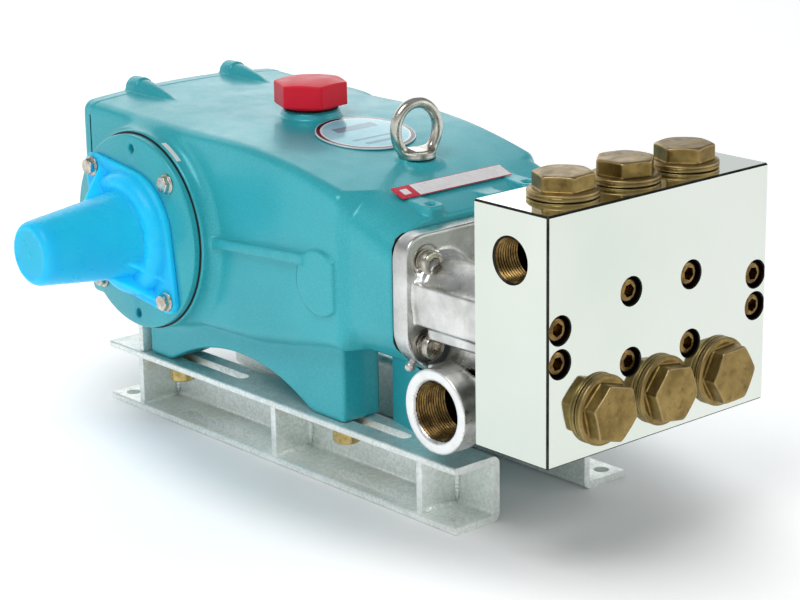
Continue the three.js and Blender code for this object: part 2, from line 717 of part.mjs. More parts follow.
// Rails: channels that open outwards, stiffened by three plates each.
const slot = (x, y0, y1, z, width) => prism('z', roundedRectangle(
  x - width / 2, x + width / 2, y0, y1, width / 2 - 0.01), z - 10, z + 10);
const gussetYs = [157, 327, 503];
function rail(side) {
  const corner = railThickness;
  const outline = [
    [railEdgeX, 0], [railEdgeX, railThickness], [railWebX + corner, railThickness],
    [railWebX + corner, railTop - railThickness], [railEdgeX, railTop - railThickness],
    [railEdgeX, railTop], [railWebX + 4, railTop], [railWebX + 1, railTop - 1.2],
    [railWebX, railTop - 4], [railWebX, 4], [railWebX + 1, 1.2], [railWebX + 4, 0],
  ].map(([x, z]) => [side * x, z]);
  if (side < 0) outline.reverse();
  let body = prism('y', outline, railFront, railRear);
  for (const y of gussetYs) {
    const ends = [side * (railWebX + 2), side * (railEdgeX - 3)].sort((a, b) => a - b);
    body = join(body, box(...ends, y - 3, y + 3, 2, railTop - 2));
  }
  body = cut(
    body,
    slot(side * footSlotX, 187, 270, railTop, 11), slot(side * footSlotX, 404, 487, railTop, 11),
    slot(side * 73, 187, 267, 0, 11), slot(side * 73, 369, 459, 0, 11),
    rod('z', 6, -5, 10, side * 75, 127.5, coarse), rod('z', 6, -5, 10, side * 75, 530, coarse));
  return body;
}

for (const side of [-1, 1]) addMesh(`${sideName(side)}_rail`, rail(side), zincSteel);
addMesh('rear_cross_plate',
  box(-86, 86, 497, 503, railTop + touchGap, railTop + 24), zincSteel);

// Foot bolts: screwed up into the feet, with a washer and nut under the flange.
for (const side of [-1, 1]) {
  footBoltYs.forEach((y, k) => {
    const seat = railTop - railThickness - touchGap;
    const x = side * footSlotX;
    addMesh(`${k ? 'rear' : 'front'}_${sideName(side)}_foot_bolt`, join(
      rod('z', 5, seat - 16, railTop + 26, x, y, coarse),
      rod('z', 10.5, seat - 2, seat, x, y, medium),
      hexagon('z', 17, seat - 10, seat - 1, x, y, 0.3)), yellowZinc);
  });
}

// The origin is the middle of the base, under the middle of the whole box.
const bounds = new THREE.Box3().setFromObject(group);
const middle = bounds.getCenter(new THREE.Vector3());
group.position.set(-middle.x, -middle.y, -bounds.min.z);

export default group;
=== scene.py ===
"""A plunger pump on channel rails: the looks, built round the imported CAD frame.

Cast and moulded pieces are made from distance fields that are blended smoothly
and meshed, turned and sawn ones from profiles and cuts. Shapes are given in
millimetres in the pump's own axes: X from the middle of the valve block, Y from
its front face, Z from the surface that the rails stand on.
"""
import json
import math

import bmesh
import bpy
import numpy as np
from mathutils import Matrix, Vector


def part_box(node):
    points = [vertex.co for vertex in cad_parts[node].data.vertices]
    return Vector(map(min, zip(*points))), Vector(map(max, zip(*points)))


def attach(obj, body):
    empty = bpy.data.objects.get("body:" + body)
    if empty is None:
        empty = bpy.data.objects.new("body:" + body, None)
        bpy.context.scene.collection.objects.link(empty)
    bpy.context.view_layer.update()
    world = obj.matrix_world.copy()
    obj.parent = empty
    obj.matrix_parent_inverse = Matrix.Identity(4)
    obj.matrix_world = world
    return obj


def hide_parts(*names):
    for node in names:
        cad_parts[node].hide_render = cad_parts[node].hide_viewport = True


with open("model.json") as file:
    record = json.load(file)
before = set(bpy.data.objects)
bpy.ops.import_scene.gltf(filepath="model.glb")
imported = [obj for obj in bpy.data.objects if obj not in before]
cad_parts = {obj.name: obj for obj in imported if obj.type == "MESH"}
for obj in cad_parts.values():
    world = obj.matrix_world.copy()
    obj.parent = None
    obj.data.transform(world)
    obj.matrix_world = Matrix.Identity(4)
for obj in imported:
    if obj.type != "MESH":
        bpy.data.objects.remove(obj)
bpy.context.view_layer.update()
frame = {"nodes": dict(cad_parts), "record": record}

MM = 0.001
block_low, block_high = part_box("valve_block")
ORIGIN = np.array([(block_low[0] + block_high[0]) / 2, block_low[1], 0.0])


def reach(node):
    """Lowest and highest corner of a CAD node in the pump's millimetres."""
    low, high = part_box(node)
    return (np.array(low) - ORIGIN) / MM, (np.array(high) - ORIGIN) / MM


# Sizes that pieces share. The rest are worked out from the frame.
CYLINDERS = (-60.0, 0.0, 60.0)
AXIS_Z = 170.0
CRANK_Y = 457.0
GAP = 0.3
PORT_RADIUS = 15.7
INLET_RADIUS = 21.6
COVER_SCREW_CIRCLE = 66.2
COVER_SCREW_ANGLES = [math.radians(a) for a in (45, 135, 225, 315)]
FILLER_Y = 375.0
EYE_Y = 250.0
VALVE_Y = 35.5
INLET_VALVE_Z = 118.5
GALLERY_Z = 225.0
COARSE = 1.0


# Distance fields: each takes arrays of millimetres and is negative inside.
def least(a, b, blend=0.0):
    """The union of two fields, with a fillet where they meet."""
    if blend == 0.0:
        return np.minimum(a, b)
    share = np.maximum(blend - np.abs(a - b), 0.0) / blend
    return np.minimum(a, b) - share * share * blend * 0.25


def most(a, b, blend=0.0):
    """What two fields have in common, with a rounded edge."""
    return -least(-a, -b, blend)


def cut(body, tool, blend=0.0):
    return most(body, -tool, blend)


def within(value, low, high):
    return np.abs(value - (low + high) / 2) - (high - low) / 2


def block(p, spans, edge=0.0):
    x, y, z = (within(value, *span) for value, span in zip(p, spans))
    return most(most(x, y, edge), z, edge)


def rod(along, radial, radius, low, high, edge=0.0):
    return most(radial - radius, within(along, low, high), edge)


def above(y, z, start, end):
    """Distance above the line through two points, seen along X."""
    (y0, z0), (y1, z1) = start, end
    return ((z - z0) * (y1 - y0) - (y - y0) * (z1 - z0)) / math.hypot(y1 - y0, z1 - z0)


def hexagon(u, v, across, turn=0.0, edge=0.0):
    body = None
    for k in range(3):
        angle = turn + k * math.pi / 3
        side = np.abs(u * math.cos(angle) + v * math.sin(angle)) - across / 2
        body = side if body is None else most(body, side, edge)
    return body


def sample(field, starts, counts, step, size=10):
    """The field on a grid. Blocks far from the surface only get its sign."""
    blocks = [count // size for count in counts]
    middles = [
        start + step * (size * np.arange(count) + (size - 1) / 2)
        for start, count in zip(starts, blocks)]
    centre = field(*(axis.ravel() for axis in np.meshgrid(*middles, indexing="ij")))
    centre = centre.reshape(blocks)
    values = np.empty((*blocks, size, size, size), dtype=np.float32)
    values[...] = np.sign(centre)[..., None, None, None] * 1e3
    near = np.argwhere(np.abs(centre) < step * size * 1.1)
    offsets = np.stack(np.meshgrid(*[np.arange(size)] * 3, indexing="ij"), -1).reshape(-1, 3)
    for part in np.array_split(near, max(1, len(near) // 300)):
        places = part[:, None, :] * size + offsets[None]
        x, y, z = (starts[i] + step * places[..., i].ravel() for i in range(3))
        values[part[:, 0], part[:, 1], part[:, 2]] = field(x, y, z).reshape(-1, size, size, size)
    return values.transpose(0, 3, 1, 4, 2, 5).reshape(counts)


def net_corners(values, cells):
    """One vertex for each cell that the surface crosses, in grid units."""
    total = np.zeros((len(cells), 3))
    number = np.zeros(len(cells))
    for axis in range(3):
        unit = np.eye(3, dtype=int)[axis]
        others = [np.eye(3, dtype=int)[(axis + k) % 3] for k in (1, 2)]
        for a in (0, 1):
            for b in (0, 1):
                start = cells + a * others[0] + b * others[1]
                end = start + unit
                first = values[start[:, 0], start[:, 1], start[:, 2]]
                last = values[end[:, 0], end[:, 1], end[:, 2]]
                crossed = (first < 0) != (last < 0)
                share = first[crossed] / (first[crossed] - last[crossed])
                total[crossed] += start[crossed] + share[:, None] * unit
                number[crossed] += 1
    return total / number[:, None]


def net_faces(inside, ids):
    """A quad round each grid edge that the surface crosses."""
    faces = []
    for axis in range(3):
        shift = [slice(None)] * 3
        base = [slice(None)] * 3
        shift[axis] = slice(1, None)
        base[axis] = slice(None, -1)
        first = inside[tuple(base)]
        edges = np.argwhere(first != inside[tuple(shift)])
        u = np.eye(3, dtype=int)[(axis + 1) % 3]
        v = np.eye(3, dtype=int)[(axis + 2) % 3]
        quad = np.stack([
            ids[tuple((edges + offset).T)] for offset in (0 * u, -u, -u - v, -v)], 1)
        outward = first[tuple(edges.T)]
        quad[~outward] = quad[~outward][:, ::-1]
        faces.append(quad)
    return np.concatenate(faces)


def settle(field, vertices, step):
    """Moves the vertices onto the surface, along the field's slope."""
    tiny = step * 0.2
    for _ in range(2):
        distance = field(*vertices.T)
        slope = np.stack([
            (field(*(vertices + tiny * unit).T) - field(*(vertices - tiny * unit).T)) / (2 * tiny)
            for unit in np.eye(3)], 1)
        length = np.maximum((slope ** 2).sum(1), 0.3)
        move = np.clip(distance / length, -step / 2, step / 2)
        vertices = vertices - move[:, None] * slope
    return vertices


def mesh_of(name, vertices, faces):
    """A smooth Blender mesh from millimetre vertices and quads."""
    mesh = bpy.data.meshes.new(name)
    mesh.vertices.add(len(vertices))
    mesh.vertices.foreach_set("co", (vertices * MM + ORIGIN).ravel())
    mesh.loops.add(faces.size)
    mesh.loops.foreach_set("vertex_index", faces.ravel())
    mesh.polygons.add(len(faces))
    mesh.polygons.foreach_set("loop_start", np.arange(0, faces.size, faces.shape[1]))
    mesh.polygons.foreach_set("use_smooth", np.ones(len(faces), dtype=bool))
    mesh.update(calc_edges=True)
    mesh.validate()
    return mesh


def surface(name, field, low, high, step):
    """Meshes the field's zero surface inside a box, with a step in millimetres."""
    step *= COARSE
    size = 10
    starts = np.array(low, dtype=float) - 2 * step
    counts = [
        int(math.ceil(((b - a) / step + 4) / size)) * size for a, b in zip(low, high)]
    values = sample(field, starts, counts, step, size)
    inside = values < 0
    corners = np.zeros([n - 1 for n in counts], dtype=np.int8)
    for i in (0, 1):
        for j in (0, 1):
            for k in (0, 1):
                corners += inside[
                    i:counts[0] - 1 + i, j:counts[1] - 1 + j, k:counts[2] - 1 + k]
    cells = np.argwhere((corners > 0) & (corners < 8))
    ids = np.full(corners.shape, -1, dtype=np.int64)
    ids[tuple(cells.T)] = np.arange(len(cells))
    vertices = starts + step * net_corners(values, cells)
    return mesh_of(name, settle(field, vertices, step), net_faces(inside, ids))


# Turned pieces and straight cuts.
SWAP = {"x": (2, 0, 1), "y": (0, 2, 1), "z": (0, 1, 2)}


def turned(name, axis, profile, centre, sides=96):
    """A body of revolution. Profile points are (radius, distance along the axis)."""
    body = bmesh.new()
    rings = []
    for radius, along in profile:
        ring = []
        for k in range(sides if radius > 0 else 1):
            angle = 2 * math.pi * k / sides
            u = centre[0] + radius * math.cos(angle)
            v = centre[1] + radius * math.sin(angle)
            place = {"x": (along, u, v), "y": (u, along, v), "z": (u, v, along)}[axis]
            ring.append(body.verts.new(np.array(place) * MM + ORIGIN))
        rings.append(ring)
    closed = profile[0][0] > 0
    for a, b in zip(rings, rings[1:] + rings[:1] if closed else rings[1:]):
        for k in range(sides):
            corners = [a[k % len(a)], b[k % len(b)], b[(k + 1) % len(b)], a[(k + 1) % len(a)]]
            body.faces.new(list(dict.fromkeys(corners)))
    bmesh.ops.recalc_face_normals(body, faces=body.faces)
    return finished(name, body)


def finished(name, body, sharp=35.0):
    """Turns a bmesh into a mesh that is smooth except at its sharp edges."""
    for face in body.faces:
        face.smooth = True
    for edge in body.edges:
        edge.smooth = len(edge.link_faces) == 2 and edge.calc_face_angle() < math.radians(sharp)
    mesh = bpy.data.meshes.new(name)
    body.to_mesh(mesh)
    body.free()
    return mesh


def cuboid(name, spans, edge=0.0, segments=3):
    """A box with rounded edges."""
    body = bmesh.new()
    bmesh.ops.create_cube(body, size=1.0)
    for vertex in body.verts:
        for i, (low, high) in enumerate(spans):
            vertex.co[i] = (low if vertex.co[i] < 0 else high) * MM + ORIGIN[i]
    if edge:
        bmesh.ops.bevel(
            body, geom=body.edges[:], offset=edge * MM, segments=segments,
            profile=0.5, affect="EDGES")
    return finished(name, body)


def extruded(name, axis, outline, low, high):
    """An outline in the two other axes, given its length along the named one."""
    body = bmesh.new()
    ends = []
    for along in (low, high):
        ends.append([
            body.verts.new(np.array({
                "x": (along, u, v), "y": (u, along, v), "z": (u, v, along)}[axis]) * MM + ORIGIN)
            for u, v in outline])
    body.faces.new(ends[0])
    body.faces.new(ends[1][::-1])
    for k in range(len(outline)):
        j = (k + 1) % len(outline)
        body.faces.new([ends[0][k], ends[0][j], ends[1][j], ends[1][k]])
    bmesh.ops.recalc_face_normals(body, faces=body.faces)
    return finished(name, body)


def combined(mesh, tools, operation="DIFFERENCE", sharp=35.0):
    """The mesh after one exact boolean with each of the tools."""
    for tool in tools:
        base = bpy.data.objects.new("base", mesh)
        other = bpy.data.objects.new("tool", tool)
        for thing in (base, other):
            bpy.context.scene.collection.objects.link(thing)
        change = base.modifiers.new("boolean", "BOOLEAN")
        change.operation = operation
        change.solver = "EXACT"
        change.object = other
        view = bpy.context.evaluated_depsgraph_get()
        result = bpy.data.meshes.new_from_object(base.evaluated_get(view))
        for thing in (base, other):
            bpy.data.objects.remove(thing)
        result.name = mesh.name
        bpy.data.meshes.remove(tool)
        mesh = result
    body = bmesh.new()
    body.from_mesh(mesh)
    bmesh.ops.remove_doubles(body, verts=body.verts, dist=1e-6)
    return finished(mesh.name, body, sharp)


def merged(name, meshes):
    """Several separate shells as one mesh."""
    body = bmesh.new()
    for mesh in meshes:
        body.from_mesh(mesh)
    result = bpy.data.meshes.new(name)
    body.to_mesh(result)
    body.free()
    return result


def moved(mesh, offset=(0, 0, 0), turn=0.0, axis="X", about=(0, 0, 0)):
    """A copy, turned about a point in millimetres and then moved."""
    centre = Vector(np.array(about) * MM + ORIGIN)
    copy = mesh.copy()
    copy.transform(
        Matrix.Translation(Vector(offset) * MM) @ Matrix.Translation(centre)
        @ Matrix.Rotation(turn, 4, axis) @ Matrix.Translation(-centre))
    return copy


# Materials.
class Shader:
    """Short calls for building one node material."""

    def __init__(self, name):
        self.material = bpy.data.materials.new(name)
        self.material.use_nodes = True
        self.tree = self.material.node_tree
        self.main = self.tree.nodes["Principled BSDF"]
        self.where = self.add("ShaderNodeTexCoord").outputs["Object"]

    def add(self, kind, **inputs):
        node = self.tree.nodes.new(kind)
        for key, value in inputs.items():
            self.put(node, key.replace("_", " "), value)
        return node

    def put(self, node, key, value):
        if isinstance(value, bpy.types.NodeSocket):
            self.tree.links.new(value, node.inputs[key])
        else:
            node.inputs[key].default_value = value

    def set(self, **inputs):
        for key, value in inputs.items():
            self.put(self.main, key.replace("_", " "), value)

    def noise(self, scale, detail=3.0, roughness=0.55, stretch=None):
        place = self.where
        if stretch:
            mapping = self.add("ShaderNodeMapping", Vector=self.where)
            mapping.inputs["Scale"].default_value = stretch
            place = mapping.outputs[0]
        return self.add(
            "ShaderNodeTexNoise", Vector=place, Scale=scale, Detail=detail,
            Roughness=roughness).outputs["Fac"]

    def ramp(self, value, low, high, start=0.3, end=0.7):
        """A number that goes from low to high as value goes from start to end."""
        node = self.add("ShaderNodeMapRange", Value=value)
        node.interpolation_type = "SMOOTHSTEP"
        for key, amount in (("From Min", start), ("From Max", end), ("To Min", low), ("To Max", high)):
            self.put(node, key, amount)
        return node.outputs["Result"]

    def mix(self, share, first, second):
        node = self.add("ShaderNodeMix")
        node.data_type = "RGBA"
        self.put(node, 0, share)
        for index, value in ((6, first), (7, second)):
            self.put(node, index, value if isinstance(value, bpy.types.NodeSocket) else (*value, 1))
        return node.outputs[2]

    def bump(self, *layers):
        """Bump from pairs of height and distance in millimetres, one on another."""
        normal = None
        for height, distance in layers:
            node = self.add("ShaderNodeBump", Height=height, Distance=distance * MM)
            if normal:
                self.put(node, "Normal", normal)
            normal = node.outputs[0]
        self.put(self.main, "Normal", normal)

    def edges(self, low=0.49, high=0.56):
        """About 1 on outer edges and 0 elsewhere."""
        point = self.add("ShaderNodeNewGeometry").outputs["Pointiness"]
        return self.ramp(point, 0.0, 1.0, low, high)


def paint_material():
    s = Shader("turquoise_paint")
    broad = s.noise(9.0, 2.0)
    fine = s.noise(900.0, 2.0)
    base = s.mix(s.ramp(broad, 0.0, 1.0), (0.024, 0.395, 0.46), (0.034, 0.45, 0.515))
    base = s.mix(s.ramp(fine, 0.0, 0.3, 0.42, 0.7), base, (0.12, 0.62, 0.66))
    s.set(Base_Color=base, Metallic=0.12, Roughness=s.ramp(s.noise(60.0), 0.28, 0.38))
    s.set(Specular_IOR_Level=0.35, Coat_Weight=0.22, Coat_Roughness=0.12)
    s.bump((s.noise(70.0, 2.0), 0.05), (fine, 0.006))
    return s.material


def metal_material(name, light, dark, roughness, grain=0.05, scale=40.0, stretch=None, spots=0.0):
    """Bare or plated metal, with a mottle between two colours and fine scratches."""
    s = Shader(name)
    mottle = s.noise(scale, 5.0, 0.6, stretch)
    base = s.mix(s.ramp(mottle, 0.0, 1.0), dark, light)
    if spots:
        stain = s.ramp(s.noise(scale * 2.3, 6.0, 0.7), 0.0, spots, 0.55, 0.75)
        base = s.mix(stain, base, tuple(0.35 * part for part in dark))
    scratch = s.noise(350.0, 3.0, 0.5, (1.0, 1.0, 0.12))
    s.set(Base_Color=base, Metallic=1.0)
    s.set(Roughness=s.ramp(s.noise(scale * 3, 4.0), *roughness))
    s.bump((s.noise(scale * 9, 3.0), grain), (scratch, grain * 0.3))
    return s.material


def zinc_material(name, light, dark):
    """Zinc plate with the crystals of its surface and pale, powdery patches."""
    s = Shader(name)
    cells = s.add("ShaderNodeTexVoronoi", Vector=s.where, Scale=520.0).outputs["Color"]
    grey = s.add("ShaderNodeSeparateColor", Color=cells).outputs[0]
    base = s.mix(s.ramp(grey, 0.0, 1.0, 0.0, 1.0), dark, light)
    powder = s.ramp(s.noise(28.0, 6.0, 0.65), 0.0, 0.5, 0.5, 0.72)
    base = s.mix(powder, base, tuple(part * 1.12 for part in light))
    base = s.mix(s.ramp(s.noise(9.0, 4.0), 0.25, 0.0, 0.35, 0.55), base, tuple(0.8 * p for p in dark))
    s.set(Base_Color=base, Metallic=0.65)
    s.set(Roughness=s.ramp(s.noise(70.0, 4.0), 0.33, 0.52))
    s.bump((s.noise(420.0, 3.0), 0.06), (grey, 0.02))
    return s.material


def polished_material():
    s = Shader("polished_steel")
    cloud = s.noise(5.0, 3.0)
    base = s.mix(s.ramp(cloud, 0.0, 1.0), (0.69, 0.75, 0.67), (0.76, 0.80, 0.74))
    swirl = s.noise(240.0, 3.0, 0.5, (1.0, 0.06, 1.0))
    s.set(Base_Color=base, Metallic=1.0, Roughness=s.ramp(swirl, 0.035, 0.075))
    s.bump((s.noise(14.0, 2.0), 0.02), (swirl, 0.0015))
    return s.material


def bronze_material():
    s = Shader("dull_bronze")
    patina = s.noise(55.0, 6.0, 0.65)
    base = s.mix(s.ramp(patina, 0.0, 1.0), (0.18, 0.122, 0.036), (0.34, 0.24, 0.085))
    base = s.mix(s.ramp(s.noise(170.0, 5.0), 0.0, 0.55, 0.56, 0.72), base, (0.10, 0.06, 0.03))
    # Painted highlight: the outer edges of the plugs are made lighter.
    base = s.mix(s.edges(0.5, 0.58), base, (0.60, 0.44, 0.24))
    s.set(Base_Color=base, Metallic=1.0, Roughness=s.ramp(s.noise(90.0, 4.0), 0.30, 0.46))
    s.bump((s.noise(320.0, 5.0, 0.6), 0.10), (s.noise(60.0), 0.15))
    return s.material


def plastic_material(name, colour, shade, roughness, glow=0.0, bump=0.03):
    """Moulded plastic. Glow is the share of light that passes under its surface, and it also sets a
    painted blue glow from emission.
    """
    s = Shader(name)
    base = s.mix(s.ramp(s.noise(12.0, 3.0), 0.0, 1.0), shade, colour)
    s.set(Base_Color=base, Roughness=s.ramp(s.noise(80.0), *roughness))
    s.set(Specular_IOR_Level=0.25)
    if glow:
        s.set(Subsurface_Weight=glow, Subsurface_Scale=0.02)
        s.set(Subsurface_Radius=(0.25, 0.6, 1.0))
        # Painted light: a weak blue emission makes the plastic glow, though it is no lamp.
        s.set(Emission_Color=(0.01, 0.33, 1.0, 1), Emission_Strength=0.22 * glow)
    s.bump((s.noise(500.0, 3.0), bump), (s.noise(25.0, 2.0), bump * 4))
    return s.material


def rubber_material():
    s = Shader("black_rubber")
    base = s.mix(s.ramp(s.noise(50.0), 0.0, 1.0), (0.012, 0.012, 0.013), (0.03, 0.03, 0.032))
    s.set(Base_Color=base, Roughness=s.ramp(s.noise(120.0), 0.55, 0.8))
    s.bump((s.noise(700.0), 0.05))
    return s.material


def ceramic_material():
    s = Shader("white_ceramic")
    base = s.mix(s.ramp(s.noise(40.0), 0.0, 1.0), (0.78, 0.75, 0.68), (0.88, 0.86, 0.80))
    s.set(Base_Color=base, Roughness=s.ramp(s.noise(90.0), 0.12, 0.2))
    s.bump((s.noise(600.0), 0.01))
    return s.material


def glass_material():
    s = Shader("gauge_glass")
    base = s.mix(s.ramp(s.noise(30.0), 0.0, 1.0), (0.70, 0.74, 0.62), (0.80, 0.83, 0.75))
    s.set(Base_Color=base, Roughness=s.ramp(s.noise(60.0), 0.03, 0.1))
    s.set(Transmission_Weight=0.55, IOR=1.49)
    s.bump((s.noise(200.0), 0.01))
    return s.material


def local_axes(s):
    """The three object coordinates of a label, in millimetres."""
    parts = s.add("ShaderNodeSeparateXYZ", Vector=s.where)
    return [s.math("MULTIPLY", part, 1 / MM) for part in parts.outputs]


def _math(self, operation, first, second=0.0):
    node = self.add("ShaderNodeMath")
    node.operation = operation
    self.put(node, 0, first)
    self.put(node, 1, second)
    return node.outputs[0]


Shader.math = _math


def nameplate_material(half_x, half_y):
    """Pale blue oval with a dark border, a white line inside it and plain bars."""
    s = Shader("nameplate_print")
    x, y, _ = local_axes(s)
    u = s.math("DIVIDE", x, half_x)
    v = s.math("DIVIDE", y, half_y)
    radius = s.math("SQRT", s.math("ADD", s.math("MULTIPLY", u, u), s.math("MULTIPLY", v, v)))
    base = s.mix(s.ramp(s.noise(40.0), 0.0, 1.0), (0.22, 0.66, 0.80), (0.32, 0.76, 0.86))
    for low, high, wide in ((-0.62, -0.50, 0.42), (-0.34, -0.26, 0.55), (0.22, 0.48, 0.5)):
        bar = s.math("MULTIPLY", s.math("GREATER_THAN", v, low), s.math("LESS_THAN", v, high))
        bar = s.math("MULTIPLY", bar, s.math("LESS_THAN", s.math("ABSOLUTE", u), wide))
        base = s.mix(s.math("MULTIPLY", bar, 0.75), base, (0.05, 0.20, 0.30))
    base = s.mix(s.math("GREATER_THAN", radius, 0.86), base, (0.85, 0.88, 0.90))
    base = s.mix(s.math("GREATER_THAN", radius, 0.90), base, (0.02, 0.025, 0.035))
    base = s.mix(s.math("GREATER_THAN", radius, 0.975), base, (0.62, 0.70, 0.74))
    s.set(Base_Color=base, Roughness=s.ramp(s.noise(60.0), 0.16, 0.26), Coat_Weight=0.5)
    s.bump((s.noise(90.0), 0.02))
    return s.material


def strip_material(half_x, half_y):
    """White strip with a red border, a red end and plain grey lines."""
    s = Shader("strip_print")
    x, y, _ = local_axes(s)
    base = s.mix(s.ramp(s.noise(60.0), 0.0, 1.0), (0.92, 0.90, 0.90), (0.96, 0.95, 0.95))
    lines = s.math("GREATER_THAN", s.math("FRACT", s.math("MULTIPLY", y, 0.42)), 0.62)
    middle = s.math("LESS_THAN", s.math("ABSOLUTE", y), half_y - 2.6)
    inner = s.math("GREATER_THAN", x, 24 - half_x)
    inner = s.math("MULTIPLY", inner, s.math("LESS_THAN", x, half_x - 6))
    text = s.math("MULTIPLY", s.math("MULTIPLY", lines, middle), inner)
    base = s.mix(s.math("MULTIPLY", text, 0.35), base, (0.80, 0.58, 0.62))
    edge = s.math("GREATER_THAN", s.math("ABSOLUTE", y), half_y - 0.6)
    edge = s.math("MAXIMUM", edge, s.math("GREATER_THAN", s.math("ABSOLUTE", x), half_x - 0.6))
    end = s.math("LESS_THAN", x, 18 - half_x)
    spot = s.math("LESS_THAN", s.math("ABSOLUTE", s.math("ADD", x, half_x - 9)), 3.4)
    spot = s.math("MULTIPLY", spot, s.math("LESS_THAN", s.math("ABSOLUTE", y), 3.4))
    red = s.math("MULTIPLY", s.math("MAXIMUM", edge, end), s.math("SUBTRACT", 1.0, spot))
    base = s.mix(red, base, (0.72, 0.02, 0.06))
    s.set(Base_Color=base, Roughness=s.ramp(s.noise(60.0), 0.22, 0.34), Coat_Weight=0.3)
    s.bump((s.noise(90.0), 0.02))
    return s.material


LOOKS = {
    "turquoise_paint": paint_material(),
    "polished_steel": polished_material(),
    # Near-black metal: a painted dark reflection on the block's chamfers and a painted shade in its
    # counterbore mouths.
    "block_chamfer": metal_material(
        "block_chamfer", (0.045, 0.045, 0.04), (0.015, 0.015, 0.015), (0.35, 0.5), 0.02, 90.0),
    "cast_stainless": metal_material(
        "cast_stainless", (0.80, 0.80, 0.78), (0.52, 0.52, 0.50), (0.24, 0.42), 0.10, 35.0),
    "turned_ring": metal_material(
        "turned_ring", (0.95, 0.95, 0.94), (0.86, 0.86, 0.85), (0.3, 0.4), 0.02, 60.0),
    "bright_zinc": zinc_material("bright_zinc", (0.94, 0.98, 0.95), (0.78, 0.83, 0.80)),
    "eye_nickel": metal_material(
        "eye_nickel", (0.74, 0.72, 0.65), (0.46, 0.44, 0.38), (0.16, 0.3), 0.05, 60.0, None, 0.3),
    "yellow_zinc": metal_material(
        "yellow_zinc", (0.72, 0.55, 0.22), (0.40, 0.27, 0.09), (0.22, 0.4), 0.05, 110.0, None, 0.5),
    "screw_steel": metal_material(
        "screw_steel", (0.78, 0.74, 0.66), (0.38, 0.34, 0.28), (0.16, 0.32), 0.03, 130.0, None, 0.4),
    "thread_brown": metal_material(
        "thread_brown", (0.30, 0.19, 0.065), (0.09, 0.055, 0.02), (0.2, 0.36), 0.04, 120.0),
    # Near-black brown: a painted shade inside the bores.
    "bore_brown": metal_material(
        "bore_brown", (0.07, 0.05, 0.025), (0.02, 0.014, 0.008), (0.3, 0.5), 0.04, 120.0),
    "dull_bronze": bronze_material(),
    "machined_steel": metal_material(
        "machined_steel", (0.72, 0.73, 0.75), (0.52, 0.53, 0.55), (0.18, 0.32), 0.02, 70.0),
    "forged_steel": metal_material(
        "forged_steel", (0.26, 0.26, 0.27), (0.12, 0.12, 0.13), (0.35, 0.55), 0.12, 45.0),
    "white_ceramic": ceramic_material(),
    "black_rubber": rubber_material(),
    "blue_plastic": plastic_material(
        "blue_plastic", (0.016, 0.60, 1.0), (0.012, 0.48, 0.98), (0.26, 0.36), 1.0, 0.01),
    "red_plastic": plastic_material(
        "red_plastic", (0.80, 0.006, 0.03), (0.66, 0.004, 0.02), (0.3, 0.42), 0.0, 0.03),
    "white_print": plastic_material(
        "white_print", (0.86, 0.86, 0.84), (0.78, 0.78, 0.76), (0.3, 0.45)),
    "gauge_glass": glass_material(),
}


def piece(name, mesh, look, body="pump", replaces=()):
    """Adds a mesh to the scene as a piece that rides on a CAD body."""
    thing = bpy.data.objects.new(name, mesh)
    bpy.context.scene.collection.objects.link(thing)
    if look is not None:
        mesh.materials.clear()
        mesh.materials.append(LOOKS[look])
    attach(thing, body)
    if replaces:
        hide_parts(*replaces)
    return thing


# Crankcase.
case_low, case_high = reach("crankcase")
CASE_FRONT, CASE_REAR = case_low[1], case_high[1]
CASE_HALF = 99.5
BOSS_FACE = case_high[0]
FOOT_BOTTOM = case_low[2]
ARCH = (372.75, -92.3, 169.6)
TONGUE_X = 48.5
TONGUE_Z = 261.5
LEFT_CENTRE = (453.9, 168.0)
NOSE_START, NOSE_SLOPE = (173.0, 219.2), 0.376
ROOF_START, ROOF_SLOPE = (221.0, 238.4), 0.143
CREST = (333.0, 254.4)


def ramp(value, start, end):
    """Goes smoothly from 0 to 1 as the value goes from start to end."""
    share = np.clip((value - start) / (end - start), 0.0, 1.0)
    return share * share * (3 - 2 * share)


def roof_height(ax, y):
    """The nose rises steeply, the middle less so, and the rear is crowned."""
    nose = NOSE_START[1] + NOSE_SLOPE * (y - NOSE_START[0])
    middle = ROOF_START[1] + ROOF_SLOPE * (y - ROOF_START[0])
    crown = 5.0 * (ax / CASE_HALF) ** 2 * ramp(y, 300, 440)
    rear = CREST[1] + 0.036 * (y - CREST[0]) - crown
    return least(least(nose, middle, 18), rear, 6)


def floor_height(y):
    return np.interp(y, [173, 226, 240, 335, 531], [108, 114.5, 115, 98, 95])


def tongue_field(ax, y, z):
    """A bullet over each rear screw, which dies away into the roof."""
    share = np.clip((CASE_REAR - y) / 52, 0, 1.2)
    return np.hypot(ax - TONGUE_X, z - TONGUE_Z + 3.5 * share) - 9.6 + 7.5 * share ** 2.2


def front_tongue_field(ax, y, z):
    """A flat-topped pad over each front screw, with a round end and a long tail."""
    share = np.clip((y - 181) / 36, 0, 1.2)
    tail = np.abs(ax - TONGUE_X) - 9.3 + 6.5 * share ** 1.3
    side = np.where(y < 181, np.hypot(ax - TONGUE_X, y - 181) - 9.3, tail)
    top = z - 226.3 - 0.07 * (y - CASE_FRONT)
    return most(most(side, top, 1.2), within(y, 160, 226))


def boss_radial(x, y, z):
    """Distance from the crank axis. The left cover sits a little off it."""
    left = np.hypot(y - LEFT_CENTRE[0], z - LEFT_CENTRE[1])
    return np.where(x < 0, left, np.hypot(y - CRANK_Y, z - AXIS_Z))


